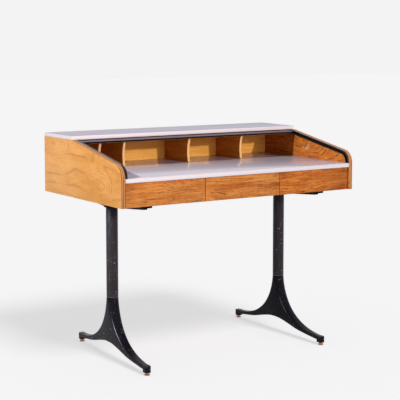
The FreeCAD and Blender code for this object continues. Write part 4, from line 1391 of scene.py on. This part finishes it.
@dataclass
class Studio:
    """Floor, background, lamps and camera."""

    paper: str = "#F3F3F3"
    glow: float = 0.24
    tint: str = "#ECEAF4"
    floor_size: float = 60.0
    floor_share: float = 0.38
    floor_glow: float = 1.575
    floor_bounce: str = "#C8C8CC"
    eye: Point = (-2.60264, -4.00228, 1.22872)
    yaw: float = 0.577
    pitch: float = 0.0997
    focal_pixels: float = 1195.17
    pixels: float = 400.0
    sensor: float = 36.0
    drop: float = -0.10
    # The key, a second from the front, a broad fill, the pedestals' glint and the floor's own.
    lamps: tuple[Lamp, ...] = (
        Lamp("lamp_left", (3.0, 0.26, -1.95), 2.75, 0.05, "#FFF8F0", Falls.ON_DESK),
        Lamp("lamp_front", (-0.2, 1.0, -0.26), 1.62, 0.03, "#FFFFFF", Falls.ON_DESK),
        Lamp("lamp_fill", (0.02, 1.0, -0.12), 0.84, 0.5, "#FFF6EC", Falls.ON_DESK),
        Lamp("lamp_window", (0.80, 0.0, -0.60), 30.0, 0.6, "#DCE6FF", Falls.ON_PEDESTALS,
             Gives.GLINTS),
        Lamp("lamp_floor", (-0.09, 0.85, -1.0), 1.28, 0.34, "#FFFFFF", Falls.ON_FLOOR),
    )

    def build(self) -> None:
        """Set up the studio."""
        bpy.context.scene.view_settings.view_transform = "Standard"
        self.floor()
        self.background()
        for lamp in self.lamps:
            lamp.hang()
        self.camera()

    def floor(self) -> None:
        """Pale floor that keeps the object's shadow."""
        bpy.ops.object.select_all(action="DESELECT")
        bpy.ops.mesh.primitive_plane_add(size=self.floor_size, location=(0, 0, 0))
        floor = bpy.context.object
        floor.name = "studio_floor"
        paint = bpy.data.materials.new("studio_paper")
        paint.use_nodes = True
        tree = paint.node_tree
        tree.nodes.clear()
        lit = add(tree, "BsdfDiffuse", {"Color": linear("#FFFFFF")})
        plain = add(tree, "Emission", {"Color": linear("#FFFFFF"), "Strength": self.floor_glow})
        mixed = add(tree, "MixShader", {0: self.floor_share, 1: lit, 2: plain})
        bounce = add(tree, "BsdfDiffuse", {"Color": linear(self.floor_bounce)})
        chosen = add(tree, "MixShader", {0: self.seen_by_eye(tree), 1: bounce, 2: mixed})
        add(tree, "OutputMaterial", {"Surface": chosen})
        floor.data.materials.append(paint)

    def seen_by_eye(self, tree: Tree) -> Socket:
        """One for rays from the camera, a mirror or glass, otherwise nought."""
        rays = add(tree, "LightPath").node.outputs
        total = rays["Is Camera Ray"]
        for ray in ("Is Glossy Ray", "Is Transmission Ray"):
            total = add(tree, "Math", {0: total, 1: rays[ray]}, operation="MAXIMUM")
        return total

    def background(self) -> None:
        """Paper-white background, and a dimmer dome that fills the shadows."""
        world = bpy.context.scene.world or bpy.data.worlds.new("studio")
        bpy.context.scene.world = world
        world.use_nodes = True
        tree = world.node_tree
        tree.nodes.clear()
        dome = add(tree, "Background", {"Color": linear(self.tint), "Strength": self.glow})
        paper = add(tree, "Background", {"Color": linear(self.paper), "Strength": 1.0})
        mixed = add(tree, "MixShader", {0: self.seen_by_eye(tree), 1: dome, 2: paper})
        add(tree, "OutputWorld", {"Surface": mixed})

    def camera(self) -> None:
        """Camera at the viewing place."""
        data = bpy.data.cameras.new("camera")
        data.sensor_width = self.sensor
        data.lens = self.sensor * self.focal_pixels / self.pixels
        data.shift_y = self.drop
        data.clip_end = 200.0
        item = bpy.data.objects.new("camera", data)
        bpy.context.scene.collection.objects.link(item)
        ahead = Vector((math.sin(self.yaw) * math.cos(self.pitch),
                        math.cos(self.yaw) * math.cos(self.pitch), -math.sin(self.pitch)))
        item.location = self.eye
        item.rotation_euler = ahead.to_track_quat("-Z", "Y").to_euler()
        bpy.context.scene.camera = item


def main() -> None:
    """Build the desk and its studio."""
    logging.basicConfig(level=logging.INFO, format="%(message)s")
    for maker in (Case(), Tambour(), Drawers(), Pedestals(), Studio()):
        maker.build()
        log.info("%s built", type(maker).__name__)


if __name__ == "__main__":
    main()
